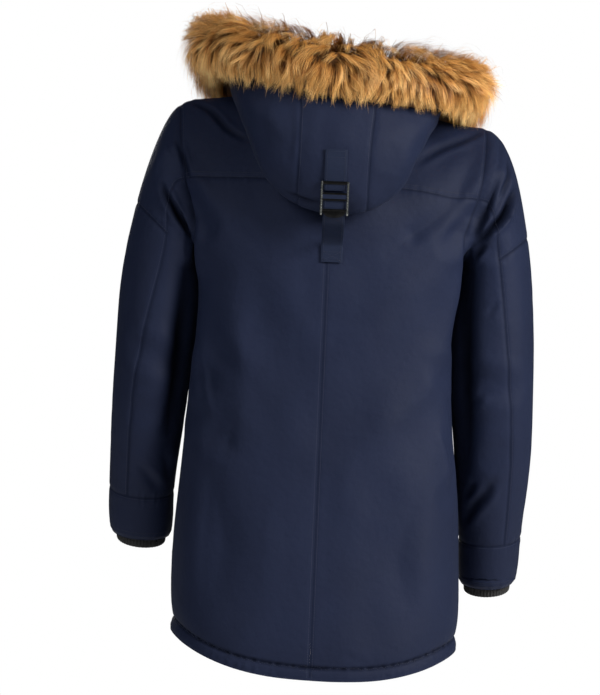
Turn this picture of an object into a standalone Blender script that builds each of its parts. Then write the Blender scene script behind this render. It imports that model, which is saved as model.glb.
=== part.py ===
"""Fur-trimmed parka, hood down, in the hollow form it has when it is worn.

Metres, +Z up. -Y is the wearer's front and +X the wearer's left. The origin lies midway between the two
points where the shoulder seams meet the neck, which is where the wearer carries the coat.
Each cut piece is one closed solid. The shell of the body and the sleeves is one coarse cage, rounded by
Subdivision Surface and then cut along its seams into panels, each a wall of even thickness.
"""

import math

import bmesh
import bpy
import numpy as np
from mathutils import Vector
from mathutils.bvhtree import BVHTree

# ---- driving dimensions, in metres ----
SHELL_WALL = 0.004  # padded shell of the body and sleeves
HOOD_WALL = 0.003
PLACKET_WALL = 0.003
RIB_WALL = 0.0025
STRAP_WALL = 0.0022
SEAM_GAP = 0.0003  # free gap between two pieces at a seam
LAY_GAP = 0.0004  # free gap under a piece that lies on another
SHOULDER_TILT = 0.058  # rise of the shoulder line towards the wearer's left, per metre
TILT_TOP = -0.10  # the tilt is whole above this height
TILT_FOOT = -0.42  # and gone below this one
HEM_BACK_DROP = 0.046  # the tail hangs this much lower than the sides
HEM_FRONT_DROP = 0.008
HEM_SLANT = 0.030  # the hem rises this much per metre towards the wearer's left
HEM_GROOVE = 0.0065  # depth of the crease that the hem's stitching draws in
STRAP_WIDTH = 0.030
STRAP_X = -0.007  # the straps lie a little to the wearer's right of the centre seam

# ---- body shell ----
# columns of a half ring, from centre front (0) round the left side (7) to centre back (14)
FRONT_SHARES = (0.0, 0.125, 0.28, 0.43, 0.575, 0.72, 0.86, 1.0)  # of the quarter's length, from the front
BACK_SHARES = (0.86, 0.72, 0.575, 0.43, 0.29, 0.15, 0.0)  # the same, from the back
HALF = 14
RING = 2 * HALF
FRONT_EDGE = 5  # column where the armhole leaves the side of the body, in front
BACK_EDGE = 9  # and behind
SQUARENESS = 2.7  # superellipse power of the rings
# height of the side seam, half widths, depths, and the hollow that the arm presses in
BODY_RINGS = (
    dict(z=-0.789, left=0.203, right=0.212, back=0.148, front=0.156, hollow=0.00, lift=0.000, pinch=0.0),
    dict(z=-0.789, left=0.203, right=0.212, back=0.148, front=0.156, hollow=0.00, lift=0.017, pinch=1.0),
    dict(z=-0.789, left=0.204, right=0.213, back=0.149, front=0.157, hollow=0.00, lift=0.033, pinch=0.0),
    dict(z=-0.670, left=0.204, right=0.211, back=0.143, front=0.156, hollow=0.01, lift=0.0, pinch=0.0),
    dict(z=-0.570, left=0.203, right=0.209, back=0.138, front=0.155, hollow=0.03, lift=0.0, pinch=0.0),
    dict(z=-0.470, left=0.205, right=0.206, back=0.134, front=0.153, hollow=0.09, lift=0.0, pinch=0.0),
    dict(z=-0.385, left=0.202, right=0.204, back=0.132, front=0.150, hollow=0.15, lift=0.0, pinch=0.0),
    dict(z=-0.305, left=0.200, right=0.207, back=0.133, front=0.147, hollow=0.17, lift=0.0, pinch=0.0),
    dict(z=-0.228, left=0.204, right=0.211, back=0.134, front=0.143, hollow=0.10, lift=0.0, pinch=0.0),
)
HOLLOW_DEPTH = 0.062  # how far the hollow runs fore and aft
UNDERARM_DROP = 0.010  # the underarm point lies lower than the ring
# rows of the upper body, from the armhole's foot to the shoulder seam: its two edges and its centre line; the
# points of the right side are given as on the left, and mirrored
BACK_ROWS = (
    dict(left=(0.203, 0.083, -0.182), right=(0.209, 0.083, -0.182), centre=(0.0, 0.135, -0.188)),
    dict(left=(0.208, 0.081, -0.157), right=(0.217, 0.080, -0.145), centre=(0.0, 0.132, -0.152)),
    dict(left=(0.215, 0.067, -0.106), right=(0.223, 0.066, -0.098), centre=(0.0, 0.124, -0.104)),
    dict(left=(0.218, 0.038, -0.060), right=(0.226, 0.038, -0.052), centre=(0.0, 0.106, -0.056)),
)
FRONT_ROWS = (
    dict(left=(0.200, -0.078, -0.182), right=(0.205, -0.078, -0.182), centre=(0.0, -0.144, -0.192)),
    dict(left=(0.206, -0.074, -0.144), right=(0.213, -0.074, -0.142), centre=(0.0, -0.142, -0.160)),
    dict(left=(0.212, -0.060, -0.104), right=(0.220, -0.060, -0.104), centre=(0.0, -0.135, -0.130)),
    dict(left=(0.216, -0.034, -0.063), right=(0.224, -0.034, -0.062), centre=(0.0, -0.120, -0.102)),
)
# shoulder seam from the tip to the neck, then the neckline to the centre
SHOULDER = (
    dict(left=(0.221, 0.002, -0.026), right=(0.228, 0.002, -0.020)),
    dict(left=(0.174, 0.004, -0.021), right=(0.175, 0.004, -0.025)),
    dict(left=(0.127, 0.006, -0.010), right=(0.127, 0.006, -0.010)),
    dict(left=(0.082, 0.008, 0.002), right=(0.082, 0.008, 0.002)),
)
BACK_NECK = ((0.064, 0.056, -0.001), (0.0, 0.078, -0.004))
FRONT_NECK = ((0.060, -0.068, -0.046), (0.0, -0.098, -0.078))
UPPER_ROWS = len(BACK_ROWS) + 1
YOKE_ROW = 2  # the yoke seam follows this row of the upper body

# ---- sleeves ----
SLEEVE_COLUMNS = 14
BACK_SEAM = 3  # column of the seam between the outer and the under sleeve, behind
FRONT_SEAM = 11
PANEL_RING = 3  # ring of the seam across the outer sleeve
# rings from the sleeve head to the wrist: inner and outer point as (x, z), centre y, half depth, seam angle
# and how far the ring leans with the forearm
LEFT_RINGS = (
    dict(inner=(0.189, -0.240), outer=(0.247, -0.071), y=0.002, depth=0.086, seam=88, lean=0),
    dict(inner=(0.187, -0.250), outer=(0.263, -0.122), y=0.002, depth=0.083, seam=88, lean=0),
    dict(inner=(0.180, -0.264), outer=(0.278, -0.170), y=0.002, depth=0.079, seam=98, lean=0),
    dict(inner=(0.175, -0.292), outer=(0.291, -0.245), y=0.003, depth=0.074, seam=92, lean=0),
    dict(inner=(0.175, -0.350), outer=(0.297, -0.325), y=0.005, depth=0.070, seam=78, lean=0),
    dict(inner=(0.181, -0.412), outer=(0.298, -0.400), y=0.003, depth=0.067, seam=66, lean=3),
    dict(inner=(0.190, -0.470), outer=(0.301, -0.465), y=-0.008, depth=0.062, seam=64, lean=9),
    dict(inner=(0.199, -0.535), outer=(0.301, -0.532), y=-0.034, depth=0.056, seam=64, lean=14),
    dict(inner=(0.204, -0.598), outer=(0.302, -0.592), y=-0.062, depth=0.049, seam=65, lean=17),
)
RIGHT_RINGS = (
    dict(inner=(0.195, -0.248), outer=(0.255, -0.076), y=0.002, depth=0.086, seam=88, lean=0),
    dict(inner=(0.193, -0.262), outer=(0.277, -0.130), y=0.002, depth=0.083, seam=88, lean=0),
    dict(inner=(0.189, -0.280), outer=(0.293, -0.204), y=0.002, depth=0.079, seam=88, lean=0),
    dict(inner=(0.181, -0.318), outer=(0.303, -0.276), y=0.004, depth=0.074, seam=80, lean=0),
    dict(inner=(0.178, -0.372), outer=(0.305, -0.352), y=0.007, depth=0.070, seam=72, lean=0),
    dict(inner=(0.183, -0.435), outer=(0.307, -0.426), y=0.004, depth=0.066, seam=66, lean=2),
    dict(inner=(0.193, -0.505), outer=(0.309, -0.500), y=-0.012, depth=0.061, seam=64, lean=8),
    dict(inner=(0.2035, -0.580), outer=(0.308, -0.574), y=-0.040, depth=0.055, seam=64, lean=12),
    dict(inner=(0.211, -0.650), outer=(0.303, -0.644), y=-0.068, depth=0.049, seam=65, lean=15),
)
CUFF_LENGTH = 0.060
CUFF_TAPER = 0.97
RIB_SHARE = 0.73  # the knitted rib is this wide, of the cuff's opening
RIB_INSIDE = 0.026  # length of rib hidden in the cuff
RIB_SHOWN = 0.014
RIB_WAVES = 24
RIB_DEPTH = 0.0008


# ---- hood and fur ----
# one row for each section of the hood, from centre back (first) over the shoulder to centre front (last), on
# the wearer's left: the shell face from the neck seam over the roll, down the under side, round the fold and
# up the outer side; then the middle of the fur roll and the way from there to the hood's edge
HOOD_SECTIONS = (
    dict(
        neck=(0.0, 0.078, -0.004), rise=(0.0, 0.073, 0.006), roll=(0.0, 0.082, 0.016),
        under=(0.0, 0.112, -0.045), low=(0.0, 0.141, -0.125), fold=(0.0, 0.166, -0.190),
        bulge=(0.0, 0.200, -0.164), outer=(0.0, 0.213, -0.095), fur=(0.0, 0.196, 0.006),
        seam=(0.0, -0.05, -1.0),
    ),
    dict(
        neck=(0.028, 0.074, -0.003), rise=(0.027, 0.070, 0.007), roll=(0.031, 0.079, 0.017),
        under=(0.038, 0.108, -0.044), low=(0.046, 0.137, -0.120), fold=(0.048, 0.162, -0.183),
        bulge=(0.049, 0.194, -0.156), outer=(0.049, 0.207, -0.092), fur=(0.052, 0.190, 0.009),
        seam=(0.0, -0.05, -1.0),
    ),
    dict(
        neck=(0.050, 0.064, -0.002), rise=(0.048, 0.060, 0.008), roll=(0.056, 0.068, 0.018),
        under=(0.074, 0.098, -0.038), low=(0.089, 0.127, -0.092), fold=(0.094, 0.148, -0.147),
        bulge=(0.096, 0.180, -0.127), outer=(0.095, 0.192, -0.074), fur=(0.103, 0.174, 0.012),
        seam=(-0.08, -0.1, -1.0),
    ),
    dict(
        neck=(0.068, 0.048, -0.001), rise=(0.065, 0.046, 0.009), roll=(0.075, 0.054, 0.019),
        under=(0.097, 0.084, -0.028), low=(0.111, 0.108, -0.066), fold=(0.116, 0.124, -0.098),
        bulge=(0.122, 0.150, -0.085), outer=(0.129, 0.158, -0.050), fur=(0.146, 0.142, 0.018),
        seam=(-0.3, -0.15, -0.95),
    ),
    dict(
        neck=(0.078, 0.028, 0.001), rise=(0.075, 0.028, 0.010), roll=(0.087, 0.034, 0.020),
        under=(0.108, 0.056, -0.006), low=(0.127, 0.070, -0.030), fold=(0.137, 0.082, -0.044),
        bulge=(0.144, 0.096, -0.040), outer=(0.148, 0.100, -0.020), fur=(0.174, 0.094, 0.022),
        seam=(-0.62, -0.05, -0.78),
    ),
    dict(
        neck=(0.082, 0.008, 0.002), rise=(0.079, 0.008, 0.011), roll=(0.090, 0.010, 0.020),
        under=(0.106, 0.012, 0.006), low=(0.126, 0.014, 0.000), fold=(0.142, 0.016, -0.005),
        bulge=(0.152, 0.018, -0.003), outer=(0.158, 0.019, 0.001), fur=(0.182, 0.028, 0.026),
        seam=(-0.8, -0.05, -0.6),
    ),
    dict(
        neck=(0.074, -0.036, -0.020), rise=(0.071, -0.035, -0.010), roll=(0.080, -0.042, -0.004),
        under=(0.096, -0.052, -0.020), low=(0.110, -0.062, -0.028), fold=(0.122, -0.070, -0.034),
        bulge=(0.128, -0.074, -0.035), outer=(0.134, -0.073, -0.036), fur=(0.166, -0.064, -0.012),
        seam=(-0.8, -0.1, -0.6),
    ),
    dict(
        neck=(0.034, -0.088, -0.066), rise=(0.032, -0.090, -0.056), roll=(0.037, -0.099, -0.052),
        under=(0.046, -0.110, -0.066), low=(0.056, -0.118, -0.074), fold=(0.066, -0.124, -0.079),
        bulge=(0.072, -0.129, -0.081), outer=(0.078, -0.132, -0.081), fur=(0.112, -0.144, -0.056),
        seam=(-0.75, 0.15, -0.65),
    ),
    dict(
        neck=(0.009, -0.097, -0.077), rise=(0.009, -0.100, -0.067), roll=(0.010, -0.109, -0.063),
        under=(0.015, -0.119, -0.076), low=(0.020, -0.126, -0.083), fold=(0.024, -0.131, -0.088),
        bulge=(0.027, -0.135, -0.089), outer=(0.029, -0.138, -0.088), fur=(0.056, -0.168, -0.074),
        seam=(-0.55, 0.75, -0.35),
    ),
)
HOOD_LINE = ("neck", "rise", "roll", "under", "low", "fold", "bulge", "outer", "edge", "fur")
# for each column of the table: how far it has slipped to the wearer's right, and its further rise for each
# metre to the left
HOOD_SLIPS = (0.0, 0.0, 0.0005, 0.0015, 0.003, 0.004, 0.004, 0.005, 0.008, 0.008)
HOOD_LIFTS = (0.0, 0.0, 0.0, 0.0, 0.0, 0.0, 0.01, 0.03, 0.07, 0.07)
HOOD_STEPS = (1, 1, 2, 2, 2, 2, 2, 1)  # steps of the surface from one column of the table to the next
GUSSET_SECTION = 1  # the hood's two seams follow this section on each side
HOOD_OFF_FUR = 0.0045  # the shell face keeps this far under the fur roll, up to its edge
HOOD_CLEARANCE = 0.003  # the hood lies this far off the body, its own wall included outside
FUR_RADIUS = 0.037  # to the tips of the locks, evened out
FUR_GAP = 0.0006
FUR_SIDES = 14
FUR_TUFT = 0.12  # share by which the tufts vary the radius
FUR_END = 0.018  # the roll runs on this far past the hood's front ends

# ---- folds ----
# pressed in along a line with ends a and b as (x, z) on the back (face 1) or the front (face -1)
FOLD_SIDE = 0.12  # the ends lie on the surface nearest to this y
FOLD_RIDGE = 0.4  # share of the depth that is raised beside a fold
FOLDS = (
    dict(name="armpit_right", face=1, a=(-0.275, -0.130), b=(-0.190, -0.222), width=0.017, depth=0.008),
    dict(name="armpit_right_low", face=1, a=(-0.245, -0.232), b=(-0.205, -0.215), width=0.013, depth=0.004),
    dict(name="armpit_left", face=1, a=(0.240, -0.115), b=(0.190, -0.215), width=0.016, depth=0.007),
    dict(name="drape_right", face=1, a=(-0.215, -0.150), b=(-0.050, -0.262), width=0.030, depth=0.006),
    dict(name="waist_right", face=1, a=(-0.175, -0.330), b=(-0.015, -0.480), width=0.032, depth=0.006),
    dict(name="waist_low_right", face=1, a=(-0.195, -0.430), b=(-0.090, -0.560), width=0.030, depth=0.004),
    dict(name="blade_left", face=1, a=(0.130, -0.270), b=(0.055, -0.400), width=0.030, depth=0.005),
    dict(name="side_left", face=1, a=(0.180, -0.290), b=(0.150, -0.500), width=0.026, depth=0.006),
    dict(name="dent_left", face=1, a=(0.140, -0.500), b=(0.115, -0.512), width=0.022, depth=0.004),
    dict(name="skirt_left", face=1, a=(0.110, -0.560), b=(0.120, -0.740), width=0.034, depth=0.004),
    dict(name="skirt_right", face=1, a=(-0.100, -0.600), b=(-0.095, -0.750), width=0.034, depth=0.004),
    dict(name="elbow_left", face=1, a=(0.285, -0.390), b=(0.195, -0.425), width=0.018, depth=0.006),
    dict(name="forearm_left", face=1, a=(0.275, -0.500), b=(0.215, -0.470), width=0.017, depth=0.004),
    dict(name="elbow_right", face=1, a=(-0.290, -0.430), b=(-0.200, -0.400), width=0.018, depth=0.006),
    dict(name="forearm_right", face=1, a=(-0.222, -0.580), b=(-0.270, -0.540), width=0.017, depth=0.005),
    dict(name="chest_left", face=-1, a=(0.200, -0.150), b=(0.090, -0.270), width=0.026, depth=0.006),
    dict(name="chest_right", face=-1, a=(-0.205, -0.165), b=(-0.080, -0.260), width=0.028, depth=0.005),
    dict(name="belly_left", face=-1, a=(0.175, -0.400), b=(0.080, -0.520), width=0.030, depth=0.005),
    dict(name="belly_right", face=-1, a=(-0.180, -0.440), b=(-0.075, -0.530), width=0.030, depth=0.006),
    dict(name="crook_left", face=-1, a=(0.280, -0.380), b=(0.195, -0.420), width=0.017, depth=0.008),
    dict(name="crook_right", face=-1, a=(-0.285, -0.410), b=(-0.200, -0.440), width=0.017, depth=0.008),
)

# ---- straps, buckle and placket ----
TAB_TOP = -0.104  # the upper strap is sewn to the hood here
TAB_FOOT = -0.160
BUCKLE_TOP = (0.2100, -0.1450)  # (y, z) on the middle of the buckle's thickness
BUCKLE_FOOT = (0.1981, -0.1965)
BUCKLE_THICK = 0.0024
BUCKLE_COLUMNS = (-0.0195, -0.0163, 0.0163, 0.0195)
BUCKLE_LEVELS = (0.0032, 0.0096, 0.0122, 0.0237, 0.0346, 0.0461, 0.0506)  # up from its foot
BUCKLE_BARS = (1, 3, 5)  # spans between levels that a bar fills
# middle line of the lower strap as (y, z), from behind the buckle to its sewn end on the back
LOWER_STRAP = (
    (0.2030, -0.1665), (0.2000, -0.180), (0.1966, -0.193),
    (0.1880, -0.2035), (0.1700, -0.2125), (0.1520, -0.220),
)
LOWER_STRAP_LAID = (-0.232, -0.243, -0.255)  # heights where it lies on the back
PLACKET_LAY = 0.0009
PLACKET_COLUMNS = (0.034, 0.025, 0.0, -0.025, -0.034)
PLACKET_FOOT = -0.785
PLACKET_CHEST = -0.215  # the rows are closer together above this height
PLACKET_ROWS = (10, 12)  # steps above it and below it


def lerp(a, b, t):
    return a + (b - a) * t


def smooth(low, high, x):
    """0 below low, 1 above high, and a soft step between."""
    t = min(1.0, max(0.0, (x - low) / (high - low)))
    return t * t * (3 - 2 * t)


def tilted(point):
    """A point of the upper body after the shoulders are tilted to the wearer's left."""
    x, y, z = point
    return Vector((x, y, z + SHOULDER_TILT * x * smooth(TILT_FOOT, TILT_TOP, z)))


def clear_scene():
    for obj in list(bpy.data.objects):
        bpy.data.objects.remove(obj, do_unlink=True)


# ---------------------------------------------------------------- body cage


def quarter_points(width, depth, shares):
    """Points (x, y) of a superellipse quarter from x = 0 to y = 0, at shares of its length."""
    steps = 400
    angles = np.linspace(0.0, math.pi / 2, steps)
    x = width * np.sin(angles) ** (2 / SQUARENESS)
    y = depth * np.cos(angles) ** (2 / SQUARENESS)
    length = np.concatenate([[0.0], np.cumsum(np.hypot(np.diff(x), np.diff(y)))])
    wanted = np.array(shares) * length[-1]
    return list(zip(np.interp(wanted, length, x), np.interp(wanted, length, y)))


def hem_height(share_to_back):
    """How far the hem hangs under its height at the side seams; 1 is centre back and -1 centre front."""
    if share_to_back > 0:
        return -HEM_BACK_DROP * share_to_back**SQUARENESS
    return -HEM_FRONT_DROP * smooth(0.1, 0.9, -share_to_back)


def body_ring(row):
    """The ring's vertices, from centre front round the wearer's left."""
    points = {}
    for side, width in ((1, row["left"]), (-1, row["right"])):
        front = quarter_points(width, row["front"], FRONT_SHARES)
        back = quarter_points(width, row["back"], BACK_SHARES)
        half = [(x, -y) for x, y in front] + [(x, y) for x, y in back]
        for column, (x, y) in enumerate(half):
            x *= 1 - row["hollow"] * math.exp(-((y / HOLLOW_DEPTH) ** 2))
            depth = row["back"] if y > 0 else row["front"]
            reach = 1 - row["pinch"] * HEM_GROOVE / width
            fall = 1.0 if row["z"] < -0.78 else smooth(-0.45, -0.78, row["z"]) if row["z"] < -0.45 else 0.0
            z = row["z"] + row["lift"] + fall * (hem_height(y / depth) + HEM_SLANT * side * x)
            points[column if side > 0 else (RING - column) % RING] = (side * x * reach, y * reach, z)
    return [points[column] for column in range(RING)]


def upper_row(ring_part, top, edges, centre, level):
    """One row of the upper front or back, blended from the ring, the top row, the armholes and the centre."""
    count = len(ring_part)
    middle = count // 2
    t = level / UPPER_ROWS
    row = []
    for j in range(count):
        share = abs(j - middle) / middle
        base = lerp(ring_part[j], top[j], t)
        side = 0 if j < middle else count - 1
        edge_fix = edges[0 if j < middle else 1] - lerp(ring_part[side], top[side], t)
        centre_fix = centre - lerp(ring_part[middle], top[middle], t)
        row.append(base + lerp(centre_fix, edge_fix, share))
    return row


def mirrored(point):
    return (-point[0], point[1], point[2])


class Cage:
    """Control points and faces, each face marked with the panel that it belongs to."""

    def __init__(self):
        self.points = []
        self.faces = []
        self.panels = []

    def add(self, point):
        self.points.append(tuple(point))
        return len(self.points) - 1

    def face(self, corners, panel):
        self.faces.append(corners)
        self.panels.append(panel)

    def strip(self, lower, upper, panel_of, flip=False):
        """Faces between two rows of vertex numbers of equal length."""
        for j in range(len(lower) - 1):
            corners = (lower[j], lower[j + 1], upper[j + 1], upper[j])
            self.face(corners[::-1] if flip else corners, panel_of(j))


def body_panel(column):
    """Panel of the ring's face that starts at this column."""
    if column < HALF // 2:
        return "front_left"
    if column < HALF:
        return "back_left"
    if column < HALF + HALF // 2:
        return "back_right"
    return "front_right"


def add_body(cage):
    """Adds the body and returns the vertex numbers round the left and the right armhole."""
    rings = [[cage.add(tilted(p)) for p in body_ring(row)] for row in BODY_RINGS]
    top_ring = rings[-1]
    side_columns = range(FRONT_EDGE, BACK_EDGE + 1)
    for column in side_columns:
        for number in (top_ring[column], top_ring[(RING - column) % RING]):
            x, y, z = cage.points[number]
            drop = UNDERARM_DROP * math.exp(-((y / HOLLOW_DEPTH) ** 2))
            cage.points[number] = (x, y, z - drop)
    for low, high in zip(rings, rings[1:]):
        cage.strip(low + low[:1], high + high[:1], body_panel)

    shoulder = {
        1: [cage.add(tilted(row["left"])) for row in SHOULDER],
        -1: [cage.add(tilted(mirrored(row["right"]))) for row in SHOULDER],
    }

    def upper(columns, rows, neck, flip, panel_of_row):
        """Rows of one face of the upper body; columns run from the wearer's left edge to the right edge."""
        lowest = [top_ring[c % RING] for c in columns]
        neck_left, neck_centre = cage.add(tilted(neck[0])), cage.add(tilted(neck[1]))
        neck_right = cage.add(tilted(mirrored(neck[0])))
        top = shoulder[1] + [neck_left, neck_centre, neck_right] + shoulder[-1][::-1]
        low = [Vector(cage.points[n]) for n in lowest]
        high = [Vector(cage.points[n]) for n in top]
        numbers = [lowest]
        for level, row in enumerate(rows, start=1):
            edges = (tilted(row["left"]), tilted(mirrored(row["right"])))
            made = upper_row(low, high, edges, tilted(row["centre"]), level)
            numbers.append([cage.add(p) for p in made])
        numbers.append(top)
        for level, (a, b) in enumerate(zip(numbers, numbers[1:])):
            cage.strip(a, b, lambda j, level=level: panel_of_row(level, j), flip)
        return numbers

    middle = HALF - BACK_EDGE
    back = upper(
        range(BACK_EDGE, RING - BACK_EDGE + 1),
        BACK_ROWS,
        BACK_NECK,
        False,
        lambda level, j: "back_yoke" if level >= YOKE_ROW else ("back_left" if j < middle else "back_right"),
    )
    front = upper(
        [c for c in range(FRONT_EDGE, -FRONT_EDGE - 1, -1)],
        FRONT_ROWS,
        FRONT_NECK,
        True,
        lambda level, j: "front_left" if j < middle else "front_right",
    )
    armholes = {}
    for side, place in ((1, 0), (-1, -1)):
        bottom = [top_ring[(side * c) % RING] for c in range(BACK_EDGE - 1, FRONT_EDGE, -1)]
        back_up = [row[place] for row in back[:-1]]
        front_up = [row[place] for row in front[:-1]]
        armholes[side] = [back[-1][place]] + back_up[::-1] + bottom + front_up
    return armholes


# ---------------------------------------------------------------- sleeves


def column_angle(column, seam):
    """Angle of a sleeve column from the outer point, with the two seams at this many degrees from it."""
    marks = (0, BACK_SEAM, SLEEVE_COLUMNS // 2, FRONT_SEAM, SLEEVE_COLUMNS)
    angles = (0, seam, 180, 360 - seam, 360)
    return math.radians(float(np.interp(column, marks, angles)))


def sleeve_point(row, side, angle, scale=1.0, along=0.0):
    """A point of the ring at an angle from its outer point, moved along the forearm's own direction."""
    inner, outer = row["inner"], row["outer"]
    lean = math.radians(row["lean"])
    centre = Vector(((inner[0] + outer[0]) / 2, row["y"], (inner[1] + outer[1]) / 2))
    across = Vector(((outer[0] - inner[0]) / 2, 0, (outer[1] - inner[1]) / 2)) * scale
    deep = Vector((0, math.cos(lean), -math.sin(lean))) * row["depth"] * scale
    down = Vector((0, -math.sin(lean), -math.cos(lean)))
    p = centre + across * math.cos(angle) + deep * math.sin(angle) + down * along
    return Vector((side * p.x, p.y, p.z))


def sleeve_ring(row, side, scale=1.0, along=0.0):
    columns = range(SLEEVE_COLUMNS)
    return [sleeve_point(row, side, column_angle(c, row["seam"]), scale, along) for c in columns]


def sleeve_panel(side_name, ring, column):
    if BACK_SEAM <= column < FRONT_SEAM:
        return f"sleeve_{side_name}_under"
    return f"sleeve_{side_name}_cap" if ring < PANEL_RING else f"sleeve_{side_name}_outer"


def add_sleeve(cage, armhole, rings, side, side_name):
    """Adds a sleeve and its cuff band to the cage."""
    previous = armhole
    for ring, row in enumerate(rings):
        numbers = [cage.add(p) for p in sleeve_ring(row, side)]
        connect_tube(cage, previous, numbers, side, lambda c, r=ring: sleeve_panel(side_name, r, c))
        previous = numbers
    wrist = rings[-1]
    for along, scale in ((0.42, 1.01), (0.82, CUFF_TAPER), (1.0, CUFF_TAPER - 0.05)):
        numbers = [cage.add(p) for p in sleeve_ring(wrist, side, scale, along * CUFF_LENGTH)]
        connect_tube(cage, previous, numbers, side, lambda c: f"cuff_{side_name}")
        previous = numbers


def connect_tube(cage, upper, lower, side, panel_of):
    count = len(upper)
    for c in range(count):
        d = (c + 1) % count
        corners = (upper[c], upper[d], lower[d], lower[c])
        cage.face(corners if side < 0 else corners[::-1], panel_of(c))


# ---------------------------------------------------------------- walls


def rounded(cage, levels):
    """The cage as a smooth surface: its points, unit normals, faces and the panel of each face."""
    names = sorted(set(cage.panels))
    mesh = bpy.data.meshes.new("cage")
    mesh.from_pydata(cage.points, [], cage.faces)
    for polygon, panel in zip(mesh.polygons, cage.panels):
        polygon.material_index = names.index(panel)
    for _ in names:
        mesh.materials.append(None)
    guide = bpy.data.objects.new("cage", mesh)
    bpy.context.scene.collection.objects.link(guide)
    modifier = guide.modifiers.new("round", "SUBSURF")
    modifier.levels = modifier.render_levels = levels
    graph = bpy.context.evaluated_depsgraph_get()
    smooth_mesh = guide.evaluated_get(graph).to_mesh()
    points = [v.co.copy() for v in smooth_mesh.vertices]
    faces = [tuple(p.vertices) for p in smooth_mesh.polygons]
    panels = [names[p.material_index] for p in smooth_mesh.polygons]
    bpy.data.objects.remove(guide, do_unlink=True)
    return points, faces, panels


def normals_of(points, faces):
    """Area-weighted unit normal of each point."""
    sums = [Vector((0, 0, 0)) for _ in points]
    for face in faces:
        a, b, c, d = (points[i] for i in face)
        n = (c - a).cross(d - b)
        for i in face:
            sums[i] += n
    return [n.normalized() for n in sums]


def boundary_edges(faces):
    """Directed edges that only one of these faces has."""
    edges = {}
    for face in faces:
        for i, a in enumerate(face):
            b = face[(i + 1) % len(face)]
            edges[(a, b)] = True
    return [(a, b) for a, b in edges if (b, a) not in edges]


def seam_shift(points, faces, amount):
    """How far each boundary point moves into its own panel, so that neighbours end clear of each other."""
    shift = {}
    fans = {}
    for face in faces:
        centre = sum((points[i] for i in face), Vector((0, 0, 0))) / len(face)
        for i in face:
            fans.setdefault(i, []).append(centre)
    for a, b in boundary_edges(faces):
        along = (points[b] - points[a]).normalized()
        for i in (a, b):
            inward = sum((c - points[i] for c in fans[i]), Vector((0, 0, 0)))
            inward -= along * inward.dot(along)
            shift.setdefault(i, []).append(inward.normalized())
    moved = {}
    for i, ways in shift.items():
        way = sum(ways, Vector((0, 0, 0)))
        half_angle = max(0.5, way.length / len(ways))
        moved[i] = way.normalized() * (amount / half_angle)
    return moved


def wall(name, points, normals, faces, thickness, gap, collection, material):
    """A closed wall: these faces outside, the same moved in by the thickness, and rims along the boundary."""
    moved = seam_shift(points, faces, gap)
    used = sorted({i for face in faces for i in face})
    place = {i: n for n, i in enumerate(used)}
    shape = bmesh.new()
    outer, inner = [], []
    for i in used:
        p = points[i] + moved.get(i, Vector((0, 0, 0)))
        outer.append(shape.verts.new(p))
        inner.append(shape.verts.new(p - normals[i] * thickness))
    for face in faces:
        shape.faces.new([outer[place[i]] for i in face])
        shape.faces.new([inner[place[i]] for i in reversed(face)])
    for a, b in boundary_edges(faces):
        i, j = place[a], place[b]
        # neighbours split a twisted rim along the same diagonal
        if a < b:
            rim = ((outer[j], outer[i], inner[j]), (outer[i], inner[i], inner[j]))
        else:
            rim = ((outer[j], outer[i], inner[i]), (outer[j], inner[i], inner[j]))
        for corners in rim:
            shape.faces.new(corners)
    bmesh.ops.recalc_face_normals(shape, faces=shape.faces)
    return finish(name, shape, collection, material)


def finish(name, shape, collection, material):
    mesh = bpy.data.meshes.new(name)
    shape.to_mesh(mesh)
    shape.free()
    mesh.shade_smooth()
    mesh.set_sharp_from_angle(angle=math.radians(50))
    mesh.materials.append(material)
    obj = bpy.data.objects.new(name, mesh)
    collection.objects.link(obj)
    return obj


def material(name, colour, roughness, metallic=0.0):
    made = bpy.data.materials.new(name)
    made.use_nodes = True
    shader = made.node_tree.nodes["Principled BSDF"]
    shader.inputs["Base Color"].default_value = (*colour, 1.0)
    shader.inputs["Roughness"].default_value = roughness
    shader.inputs["Metallic"].default_value = metallic
    return made


# ---------------------------------------------------------------- smooth paths


def between(a, b, at, bt, t):
    return a * ((bt - t) / (bt - at)) + b * ((t - at) / (bt - at))


def smooth_path(points, steps):
    """A centripetal Catmull-Rom curve through the points; steps is the number of steps for each span."""
    p = [Vector(q) for q in points]
    p = [2 * p[0] - p[1]] + p + [2 * p[-1] - p[-2]]
    made = []
    for i, count in enumerate(steps):
        p0, p1, p2, p3 = p[i : i + 4]
        t1 = (p1 - p0).length ** 0.5
        t2 = t1 + (p2 - p1).length ** 0.5
        t3 = t2 + (p3 - p2).length ** 0.5
        for k in range(count):
            t = lerp(t1, t2, k / count)
            a1 = between(p0, p1, 0, t1, t)
            a2 = between(p1, p2, t1, t2, t)
            a3 = between(p2, p3, t2, t3, t)
            b1 = between(a1, a2, 0, t2, t)
            b2 = between(a2, a3, t1, t3, t)
            made.append(between(b1, b2, t1, t2, t))
    made.append(p[-2])
    return made


def both_sides(value):
    """A section's point on the wearer's left and its mirror on the right, tilted with the shoulders."""
    return tilted(value), tilted(mirrored(value))


def section_rows():
    """The hood's sections from the wearer's left front end round the back to the right one."""
    left, right = [], []
    for section in HOOD_SECTIONS:
        way = Vector(section["seam"]).normalized() * FUR_RADIUS
        whole = section | dict(edge=tuple(Vector(section["fur"]) + way))
        pairs = [both_sides(whole[key]) for key in HOOD_LINE]
        for pair, slip, lift in zip(pairs, HOOD_SLIPS, HOOD_LIFTS):
            for p in pair:
                p.z += lift * p.x
                p.x -= slip
        left.append([pair[0] for pair in pairs])
        right.append([pair[1] for pair in pairs])
    return left[::-1] + right[1:]


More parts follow.
